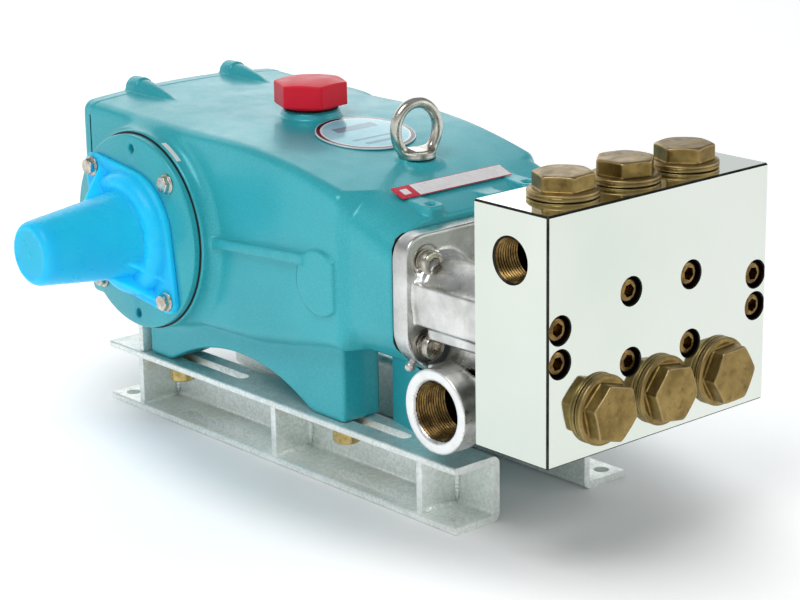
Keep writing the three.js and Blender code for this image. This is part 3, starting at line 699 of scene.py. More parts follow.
def crankcase_field(x, y, z):
    ax = np.abs(x)
    height = roof_height(ax, y)
    nose = 1 - ramp(y, 217, 229)
    lift = y - CASE_FRONT
    roof, floor = (z - height) * 0.98, (floor_height(y) - z) * 0.99
    body = most(most(roof, floor, 4), ax - CASE_HALF + 5 * nose, 9)
    top = 200 + 0.38 * lift + np.where(x > 0, 13, 0)
    corner = ((ax - 94.5) * 19 + (z - top) * 24.5) / 31.0 - 16 * (1 - nose)
    low_corner = ((ax - 94.5) * 26 + (134 - 0.1 * lift - z) * 24.5) / 35.7 - 16 * (1 - nose)
    body = most(most(body, corner, 9), low_corner, 9)

    foot = block((ax, y, z), ((46, 82.5), (243.5, 491), (FOOT_BOTTOM, 130)), 3)
    arch = np.hypot(y - ARCH[0], z - ARCH[1]) - ARCH[2]
    body = least(body, cut(foot, arch, 2.5), 7)

    crank = boss_radial(x, y, z)
    body = least(body, most(crank - 80.4, ax - BOSS_FACE, 2), 11)

    body = least(body, tongue_field(ax, y, z), 2.5)
    body = least(body, front_tongue_field(ax, y, z), 2)
    body = least(body, block((x, y, z), ((4, 22), (176, 192), (210, 225)), 1.5), 1.5)
    filler = np.hypot(x, y - FILLER_Y)
    body = least(body, rod(z, filler, 23, 240, 261, 2), 4)
    body = least(body, rod(z, filler, 21, 240, 262.2, 1.5), 0)
    eye = np.hypot(x, y - EYE_Y)
    cone = most((eye - 13.4 - np.clip(241 - z, 0, 12) * 0.7) * 0.85, z - 241.6, 1)
    body = least(body, most(cone, 226 - z), 6)

    pad = rod(ax, np.hypot(y - 247, z - 164), 25, 90, CASE_HALF + 2.8, 0.8)
    body = least(body, most(pad, 229.5 - y, 0.8), 0.8)
    rib_top = above(y, z, (262, 184), (392, 174))
    rib_low = -above(y, z, (262, 176), (392, 166))
    rib = most(most(rib_top, rib_low, 1.6), ax - CASE_HALF - 5.2, 1.2)
    rib = most(rib, within(y, 262, 392), 2)
    knob = np.sqrt((y - 384) ** 2 + (z - 170.5) ** 2 + (ax - CASE_HALF - 1.5) ** 2) - 7.0
    body = least(body, least(rib, knob, 3), 1.8)
    body = most(body, y - CASE_REAR, 1.5)
    body = most(body, CASE_FRONT - y, 1.5)

    hollow = most(most(roof + 8, floor + 8, 4), ax - CASE_HALF + 8, 12)
    hollow = most(hollow, within(y, 296, CASE_REAR - 8), 3)
    holes = least(hollow, block(
        (ax, y, z), ((-84, 84), (CASE_REAR - 20, CASE_REAR + 9), (110, 238)), 6))
    shaft = np.hypot(y - CRANK_Y, z - AXIS_Z)
    holes = least(holes, most(shaft - 58, ax - BOSS_FACE - 9))
    holes = least(holes, rod(z, filler, 17.2, 236, 275))
    holes = least(holes, rod(z, eye, 5.3, 228, 255))
    for middle in CYLINDERS:
        guide = np.hypot(x - middle, z - AXIS_Z)
        holes = least(holes, rod(y, guide, 25.3, 187, 326))
        holes = least(holes, rod(y, guide, 19, 160, 195))
    for bolt_y in (259.5, 469.5):
        holes = least(holes, rod(z, np.hypot(ax - 67, y - bolt_y), 5.3, 40, 81))
    holes = least(holes, rod(z, np.hypot(ax - TONGUE_X, y - 181), 3.2, 220, 240))
    return cut(body, holes, 1.5)


def add_crankcase():
    low, high = case_low - (0, 0, 0), np.array([case_high[0], case_high[1], TONGUE_Z + 11])
    mesh = surface("crankcase_casting", crankcase_field, low, high, 1.6)
    piece("crankcase_casting", mesh, "turquoise_paint", replaces=["crankcase"])


# Rear cover, with its sight gauge, drain plug and screws.
GAUGE_Z = 158.0
DRAIN_Z = 112.0
REAR_SCREWS = ((48.5, TONGUE_Z), (88.0, 175.0), (48.5, 104.0))
cover_low, cover_high = reach("rear_cover")
REAR_COVER_BACK = 543.0


def rear_outline(ax, z):
    """The section of the crankcase's rear, which the cover carries on."""
    roof = z - roof_height(ax, CASE_REAR + 0 * ax)
    return most(most(ax - CASE_HALF, roof, 9), floor_height(CASE_REAR) - z, 12)


def rear_cover_field(x, y, z):
    ax = np.abs(x)
    outline = rear_outline(ax, z)
    body = most(outline, within(y, cover_low[1], REAR_COVER_BACK), 4)
    ridge = np.abs(outline + 17) - 2.5
    body = least(body, most(ridge, within(y, 536, REAR_COVER_BACK + 1.5), 2.5), 3)
    for screw_x, screw_z in REAR_SCREWS:
        radial = np.hypot(ax - screw_x, z - screw_z)
        body = least(body, rod(y, radial, 9.6, cover_low[1], REAR_COVER_BACK, 2), 3)
    gauge = np.hypot(x, z - GAUGE_Z)
    drain = np.hypot(x, z - DRAIN_Z)
    body = least(body, rod(y, gauge, 21, 536, REAR_COVER_BACK, 2), 3)
    holes = least(gauge - 14.3, drain - 7.3)
    inner = block((ax, y, z), ((-78, 78), (cover_low[1] - 5, cover_low[1] + 4.7), (116, 232)), 5)
    return most(cut(body, least(holes, inner), 1), cover_low[1] - y)


def hexagon_head(name, across, height, flange=0.0, flange_height=0.0, step=0.5):
    """A hexagon head or nut standing on Z = 0 at the origin, chamfered on top."""
    def field(x, y, z):
        radial = np.hypot(x, y)
        body = most(hexagon(x, y, across, 0.0, 0.8), within(z, -2, height), 0.7)
        cone = (radial + (z - height) * 1.7 - across * 0.49) / 1.97
        body = most(body, cone, 0.6)
        if flange:
            body = least(body, rod(z, radial, flange, -2, flange_height, 0.8), 0.8)
        return most(body, -z)
    wide = max(flange, across * 0.6)
    return surface(name, field, (-wide, -wide, 0), (wide, wide, height), step)


AIM = {
    "x": Matrix.Rotation(math.radians(90), 4, "Y"),
    "-x": Matrix.Rotation(math.radians(-90), 4, "Y"),
    "y": Matrix.Rotation(math.radians(-90), 4, "X"),
    "-y": Matrix.Rotation(math.radians(90), 4, "X"),
    "z": Matrix.Identity(4),
    "-z": Matrix.Rotation(math.radians(180), 4, "X"),
}


def placed(mesh, aim, place, turn=0.0):
    """A copy of a mesh made at the origin along +Z, aimed and put in place."""
    home = Matrix.Translation(Vector(ORIGIN))
    copy = mesh.copy()
    copy.transform(
        Matrix.Translation(Vector(np.array(place) * MM)) @ home @ AIM[aim]
        @ Matrix.Rotation(turn, 4, "Z") @ home.inverted())
    return copy


def add_rear_cover():
    low = (-100, cover_low[1], 94)
    high = (100, REAR_COVER_BACK + 2, TONGUE_Z + 10)
    mesh = surface("rear_cover_plate", rear_cover_field, low, high, 1.5)
    piece("rear_cover_plate", mesh, "turquoise_paint", replaces=["rear_cover"])
    head = hexagon_head("rear_screw", 13, 6, 8.4, 1.5)
    heads = [
        placed(head, "y", (side * x, REAR_COVER_BACK, z), 0.4 * k + side)
        for side in (-1, 1) for k, (x, z) in enumerate(REAR_SCREWS)]
    piece("rear_cover_screws", merged("rear_cover_screws", heads), "screw_steel")

    gauge = turned("sight_gauge_lens", "y", [
        (0, 534), (13.6, 534), (14, 534.4), (14, 543.3), (16.4, 543.3), (17, 543.9), (17, 546.2),
        (16.2, 547.2), (13.2, 547.6), (12, 547.2), (6, 547.8), (0, 547.9)], (0, GAUGE_Z))
    piece("sight_gauge_lens", gauge, "gauge_glass", replaces=["oil_sight_gauge"])
    disc = turned("sight_gauge_disc", "y", [
        (0, 532.6), (13, 532.6), (13.4, 533), (13.4, 533.6), (4, 533.6), (3.4, 533.2), (0, 533.2)],
        (0, GAUGE_Z))
    piece("sight_gauge_disc", disc, "red_plastic")
    plug = placed(hexagon_head("drain_plug", 17, 6.7, 10.5, 1.6), "y", (0, 543.3, DRAIN_Z), 0.2)
    thread = turned("drain_thread", "y", [(0, 532), (6.4, 532), (7, 532.8), (7, 543.6), (0, 543.6)],
                    (0, DRAIN_Z), 48)
    piece("drain_plug_head", merged("drain_plug_head", [plug, thread]), "bright_zinc",
          replaces=["oil_drain_plug"])
    gasket_outline = [(x, z) for x, z in rounded_outline(-97.2, 97.2, 97.3, 252.7, 14)]
    gasket = extruded("rear_cover_gasket", "y", gasket_outline, 531.02, 531.28)
    hole = cuboid("gasket_hole", ((-82, 82), (528, 534), (112, 236)))
    piece("rear_cover_gasket", combined(gasket, [hole]), "black_rubber")


def rounded_outline(u0, u1, v0, v1, radius, steps=8):
    """The corners of a rectangle with round corners, going round once."""
    points = []
    for cu, cv, start in (
            (u1 - radius, v0 + radius, -90), (u1 - radius, v1 - radius, 0),
            (u0 + radius, v1 - radius, 90), (u0 + radius, v0 + radius, 180)):
        for k in range(steps + 1):
            angle = math.radians(start + 90 * k / steps)
            points.append((cu + radius * math.cos(angle), cv + radius * math.sin(angle)))
    return points


# Bearing covers, with their gaskets and screws.
COVER_BACK = BOSS_FACE + GAP
COVER_FACE = reach("left_bearing_cover")[0][0] * -1
COVER_RADIUS = 77.8


def cover_centre(side):
    return LEFT_CENTRE if side < 0 else (CRANK_Y, AXIS_Z)


def cover_place(side, angle, radius=COVER_SCREW_CIRCLE):
    y, z = cover_centre(side)
    return y + radius * math.cos(angle), z + radius * math.sin(angle)


def add_bearing_cover(side):
    name = "left" if side < 0 else "right"
    profile = [
        (45.3, 84), (57.7, 84), (57.7, COVER_BACK), (COVER_RADIUS - 0.6, COVER_BACK),
        (COVER_RADIUS, COVER_BACK + 0.6), (COVER_RADIUS, COVER_FACE - 1.2),
        (COVER_RADIUS - 0.5, COVER_FACE - 0.5), (COVER_RADIUS - 1.4, COVER_FACE),
        (29.5, COVER_FACE), (28.3, COVER_FACE - 1.2), (26, COVER_FACE - 1.2), (26, 106), (45.3, 106)]
    body = turned("cover", "x", [(r, side * a) for r, a in profile], cover_centre(side), 144)
    tools = [
        turned("hole", "x", [(0, side * 100), (4.3, side * 100), (4.3, side * 130), (0, side * 130)],
               cover_place(side, angle), 32)
        for angle in COVER_SCREW_ANGLES]
    tools += [
        turned("jack_hole", "x", [
            (0, side * 114.5), (3.6, side * 114.5), (3.6, side * (COVER_FACE - 0.8)),
            (5.2, side * (COVER_FACE + 0.8)), (0, side * (COVER_FACE + 0.8))],
            cover_place(side, math.radians(angle), 67), 32)
        for angle in (-90, 90)]
    mesh = combined(body, tools)
    mesh.name = f"{name}_cover_plate"
    piece(mesh.name, mesh, "turquoise_paint", replaces=[f"{name}_bearing_cover"])

    ring = turned(f"{name}_cover_gasket", "x", [
        (58, side * (BOSS_FACE + 0.03)), (79.3, side * (BOSS_FACE + 0.03)),
        (79.3, side * (COVER_BACK - 0.03)), (58, side * (COVER_BACK - 0.03))],
        cover_centre(side), 144)
    piece(ring.name, ring, "black_rubber")

    head = hexagon_head("cover_screw", 12, 6.2, 8.0, 1.7)
    heads = []
    for k, angle in enumerate(COVER_SCREW_ANGLES):
        y, z = cover_place(side, angle)
        guarded = side < 0 and k in GUARD_SCREWS
        seat = COVER_FACE + (GUARD_FLANGE + GAP if guarded else 0.0)
        heads.append(placed(head, "x" if side > 0 else "-x", (side * (seat + 0.02), y, z), 0.5 + 0.7 * k))
        heads.append(turned("shank", "x", [
            (0, side * (seat - 14)), (4.2, side * (seat - 14)), (4.2, side * seat), (0, side * seat)],
            (y, z), 24))
    piece(f"{name}_cover_screws", merged(f"{name}_cover_screws", heads), "screw_steel")


def add_sticker():
    """A blank white sticker on the rim of the left boss."""
    angles = [math.radians(a) for a in range(112, 129, 2)]
    outline = [cover_place(-1, angle, 80.45) for angle in angles]
    outline += [cover_place(-1, angle, 80.8) for angle in reversed(angles)]
    piece("boss_sticker", extruded("boss_sticker", "x", outline, -110.5, -101), "white_print")


# Shaft guard: a blunt cone, a rolled ring and a flange with two lobes and ribs.
GUARD_SCREWS = (0, 2)
GUARD_FLANGE = 5.0
GUARD_BACK = COVER_FACE + GAP
guard_low, guard_high = reach("shaft_guard")
GUARD_TIP = -guard_low[0]


def guard_field(x, y, z):
    out = -x
    tilt = (out - GUARD_BACK) / (GUARD_TIP - GUARD_BACK)
    dy = y - LEFT_CENTRE[0] - 3.6 * tilt
    dz = z - LEFT_CENTRE[1] + 1.2 * tilt
    radial = np.hypot(dy, dz)
    lobe = (dy + dz) / math.sqrt(2)
    across = (dz - dy) / math.sqrt(2)

    slope = (34.3 - 25.4) / (210.5 - 138)
    cone = (radial - 34.3 + (out - 138) * slope) * 0.993
    body = most(cone, out - GUARD_TIP, 7)
    body = cut(body, rod(out, radial, 19.5, GUARD_TIP - 0.8, GUARD_TIP + 5, 1), 0.8)
    body = least(body, rod(out, radial, 1.6, GUARD_TIP - 3, GUARD_TIP - 0.2, 0.8), 0.8)
    roll = most(np.hypot(radial - 39.5, (out - 125.5) * 0.95) - 9.4, GUARD_BACK - out)
    body = least(body, roll, 2)

    reach_out, big, small = COVER_SCREW_CIRCLE, 51.0, 10.5
    ratio = (big - small) / reach_out
    along = math.sqrt(1 - ratio * ratio)
    u = np.abs(lobe)
    v = np.abs(across)
    turn = u * along - v * ratio
    capsule = np.where(
        turn < 0, radial - big,
        np.where(turn > along * reach_out, np.hypot(u - reach_out, v) - small,
                 v * along + u * ratio - big))
    flange = most(capsule, within(out, GUARD_BACK, GUARD_BACK + GUARD_FLANGE), 1.5)
    body = least(body, flange, 2.5)

    screw = np.hypot(u - reach_out, across)
    for offset, top in ((9.5, 147.0), (-9.5, 139.0)):
        line = (u - 38) * 0.72 + (out - top) * 0.70
        rib = most(np.abs(across - offset * np.sign(lobe)) - 1.6, line, 1)
        rib = most(most(rib, u - 62), within(out, GUARD_BACK + 1, 165))
        body = least(body, most(rib, radial - 74), 1.5)
    body = least(body, rod(out, screw, 9, GUARD_BACK, GUARD_BACK + GUARD_FLANGE, 1), 1)

    inner = most(cone + 3.6, out - GUARD_TIP + 3.6, 6)
    inner = least(inner, most(np.hypot(radial - 35.5, out - 119.5) - 9, radial - 43), 1)
    inner = least(inner, rod(out, radial, 42, GUARD_BACK - 9, 124.5))
    body = cut(body, inner, 0.8)
    body = cut(body, rod(out, screw, 4.4, GUARD_BACK - 5, GUARD_BACK + 30), 0.5)
    return most(body, GUARD_BACK - out)


def add_guard():
    low = guard_low - (0, 6, 6)
    mesh = surface("guard_moulding", guard_field, low, guard_high + (1, 6, 6), 1.1)
    piece("guard_moulding", mesh, "blue_plastic", replaces=["shaft_guard"])


# Inlet manifold.
manifold_low, manifold_high = reach("inlet_manifold")
tube_low, tube_high = reach("inlet_tube")
PLATE_FRONT, PLATE_REAR = 157.0, manifold_high[1]
PLATE_HALF = 94.5
TUBE_Y, TUBE_Z = 116.0, 98.0
TUBE_END = tube_high[0]
PLATE_SCREW_X = 74.0
PLATE_SCREW_ZS = (131.0, 193.0)


def plate_outline(ax, z):
    low_corner = ((ax - 91.5) * 22 + (128 - z) * 23.5) / 32.2
    body = most(ax - PLATE_HALF, z - 214, 20)
    body = most(body, 106 - z, 4)
    return most(body, low_corner, 10)


def manifold_field(x, y, z):
    ax = np.abs(x)
    back = manifold_low[1]
    outline = plate_outline(ax, z)
    plate = most(outline, within(y, PLATE_FRONT, PLATE_REAR), 2.2)
    step = most(outline + 9, PLATE_FRONT + 2.4 - y, 1.5)
    plate = cut(plate, most(step, y - PLATE_FRONT - 2.4), 1.2)
    wall = block((ax, y, z), ((-87.5, 87.5), (back, PLATE_FRONT + 1), (149, 180)), 2.4)
    sump = most(
        most(-above(y, z, (60, 99), (160, 99)), z - 151.5, 2), within(y, 83, 149), 4)
    sump = most(sump, ax - 84, 5)
    tube = rod(x, np.hypot(y - TUBE_Y, z - TUBE_Z), 29.6, -94, 94, 2)
    body = least(least(plate, wall, 2.5), least(sump, tube, 10), 3)
    for side in (-1, 1):
        for screw_z in PLATE_SCREW_ZS:
            screw = np.hypot(x - side * PLATE_SCREW_X, z - screw_z)
            body = cut(body, rod(y, screw, 12.6, back - 9, PLATE_FRONT + 2.6, 2), 2)
    for middle in CYLINDERS:
        barrel = np.hypot(x - middle, z - AXIS_Z)
        body = least(body, rod(y, barrel, 24.5, back, PLATE_REAR - 2, 1), 4)
        body = least(body, rod(y, barrel, 28, PLATE_FRONT - 5, PLATE_FRONT + 2, 3), 5)
    tube_radial = np.hypot(y - TUBE_Y, z - TUBE_Z)
    body = least(body, most(tube_radial - 31, within(ax, 87, TUBE_END), 1.6), 3)
    nub = np.sqrt((x + 84) ** 2 + (y - 166) ** 2 + (z - 115) ** 2) - 4
    body = least(body, nub, 2)

    bore = tube_radial - INLET_RADIUS
    bore = least(bore, (tube_radial - INLET_RADIUS - 2.2 + (TUBE_END - ax) * 1.0) / 1.42)
    holes = bore
    for middle in CYLINDERS:
        barrel = np.hypot(x - middle, z - AXIS_Z)
        holes = least(holes, rod(y, barrel, 18.3, 74, PLATE_REAR + 9))
        holes = least(holes, rod(y, barrel, 14.8, back - 9, 80))
        holes = least(holes, rod(y, np.hypot(x - middle, z - 111), 9, back - 9, TUBE_Y))
    body = cut(body, holes, 0.8)
    return most(most(body, back - y), y - PLATE_REAR)


def thread(name, axis, centre, radius, start, end, pitch=2.3, depth=1.1):
    """A sleeve with a threaded inside, between two distances along its axis."""
    way = 1 if end > start else -1
    profile = [(radius - 0.05, start)]
    along = start
    while (end - along) * way > pitch:
        profile += [
            (radius - 0.35, along + way * 0.15 * pitch), (radius - depth, along + way * 0.45 * pitch),
            (radius - depth, along + way * 0.60 * pitch), (radius - 0.35, along + way * 0.9 * pitch)]
        along += way * pitch
    profile += [(radius - 0.35, end), (radius - 0.05, end)]
    return turned(name, axis, profile, centre, 72)


def socket_screw(name, radius, height, across, depth=5.0):
    """A socket head standing on Z = 0 at the origin."""
    outer = turned(name, "z", [
        (0, 0), (radius - 0.3, 0), (radius, 0.3), (radius, height - 1.6),
        (radius - 0.4, height - 0.7), (radius - 1.3, height - 0.15), (radius - 2.2, height),
        (across * 0.62, height), (0, height)], (0, 0), 64)
    points = [
        (across / math.sqrt(3) * math.cos(math.radians(60 * k)),
         across / math.sqrt(3) * math.sin(math.radians(60 * k))) for k in range(6)]
    socket = extruded("socket", "z", points, height - depth, height + 2)
    return combined(outer, [socket], sharp=30)


def add_manifold():
    low, high = np.minimum(manifold_low, tube_low), np.maximum(manifold_high, tube_high)
    mesh = surface("manifold_casting", manifold_field, low, high, 1.15)
    piece("manifold_casting", mesh, "cast_stainless", replaces=["inlet_manifold", "inlet_tube"])
    mesh.materials.append(LOOKS["bore_brown"])
    mesh.materials.append(LOOKS["turned_ring"])
    # Faces inside the inlet bore and the plunger bores get near-black brown, a painted shade. The tube's
    # end faces get the bright turned ring.
    for face in mesh.polygons:
        x, y, z = (np.array(face.center) - ORIGIN) / MM
        inside = math.hypot(y - TUBE_Y, z - TUBE_Z) < 23 and abs(x) < TUBE_END - 2
        inside = inside or (y < 172 and min(
            math.hypot(x - middle, z - AXIS_Z) for middle in CYLINDERS) < 18.6)
        face.material_index = 1 if inside else 2 if abs(x) > TUBE_END - 0.6 else 0
    for side, name in ((-1, "left"), (1, "right")):
        sleeve = thread(
            f"{name}_inlet_thread", "x", (TUBE_Y, TUBE_Z), INLET_RADIUS,
            side * (TUBE_END - 2.4), side * (TUBE_END - 30))
        piece(sleeve.name, sleeve, "thread_brown")
    screw = socket_screw("manifold_screw", 9.2, 10.5, 9.5)
    screws = [
        placed(screw, "-y", (side * PLATE_SCREW_X, PLATE_FRONT + 2.4, z), 0.3 + 0.5 * k)
        for side in (-1, 1) for k, z in enumerate(PLATE_SCREW_ZS)]
    piece("manifold_screws", merged("manifold_screws", screws), "screw_steel")
    outline = [
        (-93.6, 134), (-91, 128.6), (-68, 107), (68, 107), (91, 128.6), (93.6, 134),
        (93.6, 203), (90, 210), (84, 213), (-84, 213), (-90, 210), (-93.6, 203)]
    gasket = extruded("manifold_gasket", "y", outline, 172.66, 172.96)
    holes = [turned("hole", "y", [(0, 160), (19, 160), (19, 190), (0, 190)], (middle, AXIS_Z), 48)
             for middle in CYLINDERS]
    piece("manifold_gasket", combined(gasket, holes), "black_rubber")


# Valve block, with its screws and port threads.
BLOCK_SPANS = list(zip(*reach("valve_block")))
BLOCK_SCREWS = ((98.0, 11.7), (30.0, 25.0))
BLOCK_DEPTH = BLOCK_SPANS[1][1]
BLOCK_TOP = BLOCK_SPANS[2][1]
BLOCK_HALF = BLOCK_SPANS[0][1]


def bore(axis, centre, radius, low, high, sides=72):
    return turned("bore", axis, [(0, low), (radius, low), (radius, high), (0, high)], centre, sides)


def add_block():
    body = cuboid("valve_block_body", BLOCK_SPANS, 1.4, 1)
    tools = [turned("gallery", "x", [
        (0, -BLOCK_HALF - 5), (PORT_RADIUS + 1.2, -BLOCK_HALF - 5), (PORT_RADIUS + 1.2, -BLOCK_HALF),
        (PORT_RADIUS, -BLOCK_HALF + 1.2), (PORT_RADIUS, BLOCK_HALF - 1.2),
        (PORT_RADIUS + 1.2, BLOCK_HALF), (PORT_RADIUS + 1.2, BLOCK_HALF + 5), (0, BLOCK_HALF + 5)],
        (VALVE_Y, GALLERY_Z))]
    for group in (
            [bore("y", (x, AXIS_Z), 14.8, 18, BLOCK_DEPTH + 5) for x in CYLINDERS],
            [bore("z", (x, VALVE_Y), 10, INLET_VALVE_Z, 202) for x in CYLINDERS],
            [bore("z", (x, VALVE_Y), 21, 200, BLOCK_TOP + 5) for x in CYLINDERS],
            [bore("y", (x, INLET_VALVE_Z), 21, -5, 46) for x in CYLINDERS],
            [bore("y", (x, INLET_VALVE_Z), 14, 45, 58) for x in CYLINDERS],
            [bore("y", (x, 111.0), 9, 57, BLOCK_DEPTH + 5) for x in CYLINDERS]):
        tools.append(merged("bores", group))
    places = [
        (side * x, AXIS_Z + end * rise)
        for side in (-1, 1) for x, rise in BLOCK_SCREWS for end in (-1, 1)]
    tools.append(merged("counterbores", [turned("counterbore", "y", [
        (0, -5), (10.7, -5), (10.7, 0), (10, 0.7), (10, 12), (0, 12)], place, 72)
        for place in places]))
    mesh = combined(body, tools, sharp=30)
    for look in ("polished_steel", "block_chamfer", "bore_brown"):
        mesh.materials.append(LOOKS[look])
    # Flat outer faces stay polished. Chamfers and counterbore mouths get near-black metal, a painted dark
    # reflection and painted shade. Faces deeper than 1 mm get near-black brown, a painted shade inside
    # the bores.
    for face in mesh.polygons:
        place = (np.array(face.center) - ORIGIN) / MM
        depth = min(min(place - np.array(BLOCK_SPANS)[:, 0]), min(np.array(BLOCK_SPANS)[:, 1] - place))
        flat = max(abs(part) for part in face.normal) > 0.99
        face.material_index = 2 if depth > 1.0 else 0 if flat and depth < 0.01 else 1
    piece("valve_block_body", mesh, None, replaces=["valve_block"])

    screw = socket_screw("block_screw", 8.2, 9.6, 8.6, 6.0)
    screws = [placed(screw, "-y", (x, 11.9, z), 0.4 * k) for k, (x, z) in enumerate(places)]
    piece("block_screws", merged("block_screws", screws), "thread_brown")
    for side, name in ((-1, "left"), (1, "right")):
        sleeve = thread(
            f"{name}_discharge_thread", "x", (VALVE_Y, GALLERY_Z), PORT_RADIUS,
            side * (BLOCK_HALF - 1.6), side * (BLOCK_HALF - 24))
        piece(sleeve.name, sleeve, "thread_brown")


# Valve plugs.
def plug_mesh():
    """A plug standing on Z = 0 at the origin: hexagon, flange and neck."""
    def field(x, y, z):
        radial = np.hypot(x, y)
        head = most(hexagon(x, y, 38, 0.0, 1.6), within(z, 0.5, 16.9), 1.2)
        cone = (radial + (z - 16.9) * 2.6 - 19.4) / 2.78
        head = most(head, cone, 0.9)
        flange = rod(z, radial, 25, GAP, 5.2, 1.4)
        lip = rod(z, radial, 23.4, 4, 5.9, 1.2)
        body = least(head, least(flange, lip, 1), 1.2)
        groove = np.hypot(radial - 25.3, z - 2.4) - 0.7
        body = cut(body, groove, 0.5)
        return least(body, rod(z, radial, 20.7, -12, 1), 0)
    return surface("plug", field, (-25.4, -25.4, -12), (25.4, 25.4, 17), 0.7)


PLUG_TURNS = {"inlet": (-16, -9, 2), "discharge": (35, 9, 40)}


def add_plugs():
    plug = plug_mesh()
    for i, x in enumerate(CYLINDERS):
        for kind, aim, place, base in (
                ("inlet", "-y", (x, BLOCK_SPANS[1][0], INLET_VALVE_Z), 30),
                ("discharge", "z", (x, VALVE_Y, BLOCK_TOP), 0)):
            turn = math.radians(base + PLUG_TURNS[kind][i])
            name = f"{kind}_plug_{i + 1}"
            mesh = placed(plug, aim, place, turn)
            mesh.name = name
            piece(name, mesh, "dull_bronze", replaces=[f"{kind}_valve_plug_{i + 1}"])


# Oil filler cap and its seal.
def add_filler():
    low, high = reach("oil_filler_cap")
    seal_low, seal_high = reach("filler_cap_seal")
    bottom = seal_high[2] + GAP
    top = high[2]

    def field(x, y, z):
        u, v = x, y - FILLER_Y
        radial = np.hypot(u, v)
        body = most(hexagon(u, v, 52, math.radians(37), 1.6), within(z, bottom + 2.2, top), 1)
        crown = (radial + (z - top) * 2.3 - 25.2) / 2.5
        body = most(body, crown, 1)
        dome = np.sqrt(radial ** 2 + (z - top + 150) ** 2) - 150
        body = most(body, dome, 1)
        body = least(body, rod(z, radial, 21.5, bottom, bottom + 4, 0.6), 0)
        return least(body, rod(z, radial, 16.4, low[2], bottom + 3, 1), 0)

    span = np.array((31, 31, 0))
    middle = np.array((0, FILLER_Y, 0))
    mesh = surface(
        "filler_cap_head", field, middle - span + (0, 0, low[2]), middle + span + (0, 0, top), 0.7)
    piece("filler_cap_head", mesh, "red_plastic", "filler_cap", replaces=["oil_filler_cap"])
    middle = (seal_low[2] + seal_high[2]) / 2
    half = (seal_high[2] - seal_low[2]) / 2
    ring = [
        (19.6 + 2.3 * math.cos(2 * math.pi * k / 16), middle + half * math.sin(2 * math.pi * k / 16))
        for k in range(16)]
    seal = turned("filler_seal_ring", "z", ring, (0, FILLER_Y), 72)
    piece("filler_seal_ring", seal, "black_rubber", "cap_seal", replaces=["filler_cap_seal"])


# Lifting eye.
def add_eye():
    low, high = reach("lifting_eye")
    seat = 242.0
    wide, tall, thick = 18.0, 20.4, 4.3
    centre_z = high[2] - 0.1 - tall - thick
    turn = math.radians(-11)

    def field(x, y, z):
        u = x * math.cos(turn) + (y - EYE_Y) * math.sin(turn)
        v = -x * math.sin(turn) + (y - EYE_Y) * math.cos(turn)
        w = z - centre_z
        squash = wide / tall
        radial = np.hypot(x, y - EYE_Y)
        ellipse = np.hypot(u, w * squash)
        slope = np.hypot(u, w * squash ** 2) / np.maximum(ellipse, 1)
        offset = (ellipse - wide) / np.maximum(slope, 0.5)
        ring = np.hypot(offset, v) - thick
        collar = rod(z, radial, 14.1, seat, seat + 5.4, 1.0)
        neck = most(radial - 11 + (z - seat - 5) * 0.8, within(z, seat + 2, seat + 12), 1.5)
        body = least(least(collar, neck, 1.5), ring, 4)
        hole = most(most(offset + thick, np.abs(v) - 12), seat + 6.4 - z)
        body = cut(body, hole, 1.5)
        return least(body, rod(z, radial, 4.9, low[2], seat + 2, 0.6), 0)

    mesh = surface("lifting_eye_bolt", field, (-24, EYE_Y - 16, low[2]), (24, EYE_Y + 16, high[2]), 0.65)
    piece("lifting_eye_bolt", mesh, "eye_nickel", replaces=["lifting_eye"])
    washer = turned("eye_washer", "z", [
        (5.4, 241.62), (14.2, 241.62), (14.5, 241.7), (14.2, 241.96), (5.4, 241.96)], (0, EYE_Y), 64)
    piece("eye_washer", washer, "black_rubber")


# Labels. Each lies in its own tilted plane on the roof.
def label(name, mesh, material, centre, pitch, replaces):
    thing = bpy.data.objects.new(name, mesh)
    bpy.context.scene.collection.objects.link(thing)
    thing.location = Vector(np.array(centre) * MM + ORIGIN)
    thing.rotation_euler = (pitch, 0, 0)
    mesh.materials.append(material)
    bpy.context.view_layer.update()
    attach(thing, "pump")
    if replaces:
        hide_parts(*replaces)


def flat_plate(name, outline, thickness):
    """A thin plate round the origin, with its outline's edge rounded over."""
    body = bmesh.new()
    levels = [(1.0, 0.0), (1.0, 0.55), (0.992, 0.9), (0.975, 1.0)]
    rings = [
        [body.verts.new((u * share * MM, v * share * MM, thickness * (height - 0.5) * MM))
         for u, v in outline] for share, height in levels]
    for a, b in zip(rings, rings[1:]):
        for k in range(len(outline)):
            j = (k + 1) % len(outline)
            body.faces.new([a[k], a[j], b[j], b[k]])
    body.faces.new(rings[0][::-1])
    body.faces.new(rings[-1])
    bmesh.ops.recalc_face_normals(body, faces=body.faces)
    return finished(name, body)


def add_labels():
    for name, slope, start, half_y, thick in (
            ("nameplate", ROOF_SLOPE, ROOF_START, None, 0.9),
            ("warning_strip", NOSE_SLOPE, NOSE_START, 7.5, 0.4)):
        low, high = reach(name)
        centre = (low + high) / 2
        pitch = math.atan(slope)
        centre[2] = start[1] + slope * (centre[1] - start[0]) + 0.2 + thick / 2
        half_x = (high[0] - low[0]) / 2
        if half_y is None:
            half_y = (high[1] - low[1]) / 2 / math.cos(pitch)
            outline = [
                (half_x * math.cos(2 * math.pi * k / 120), half_y * math.sin(2 * math.pi * k / 120))
                for k in range(120)]
            look = nameplate_material(half_x, half_y)
        else:
            outline = rounded_outline(-half_x, half_x, -half_y, half_y, 1.2, 4)
            look = strip_material(half_x, half_y)
        mesh = flat_plate(f"{name}_sticker", outline, thick)
        label(mesh.name, mesh, look, centre, pitch, [name])


# Rails, cross plate and foot bolts.
rail_low, rail_high = reach("right_rail")
RAIL_TOP = rail_high[2]
RAIL_FRONT, RAIL_REAR = rail_low[1], rail_high[1]
RAIL_WEB, RAIL_EDGE = rail_low[0], rail_high[0]
RAIL_THICK = 5.5
GUSSETS = (157.0, 327.0, 503.0)


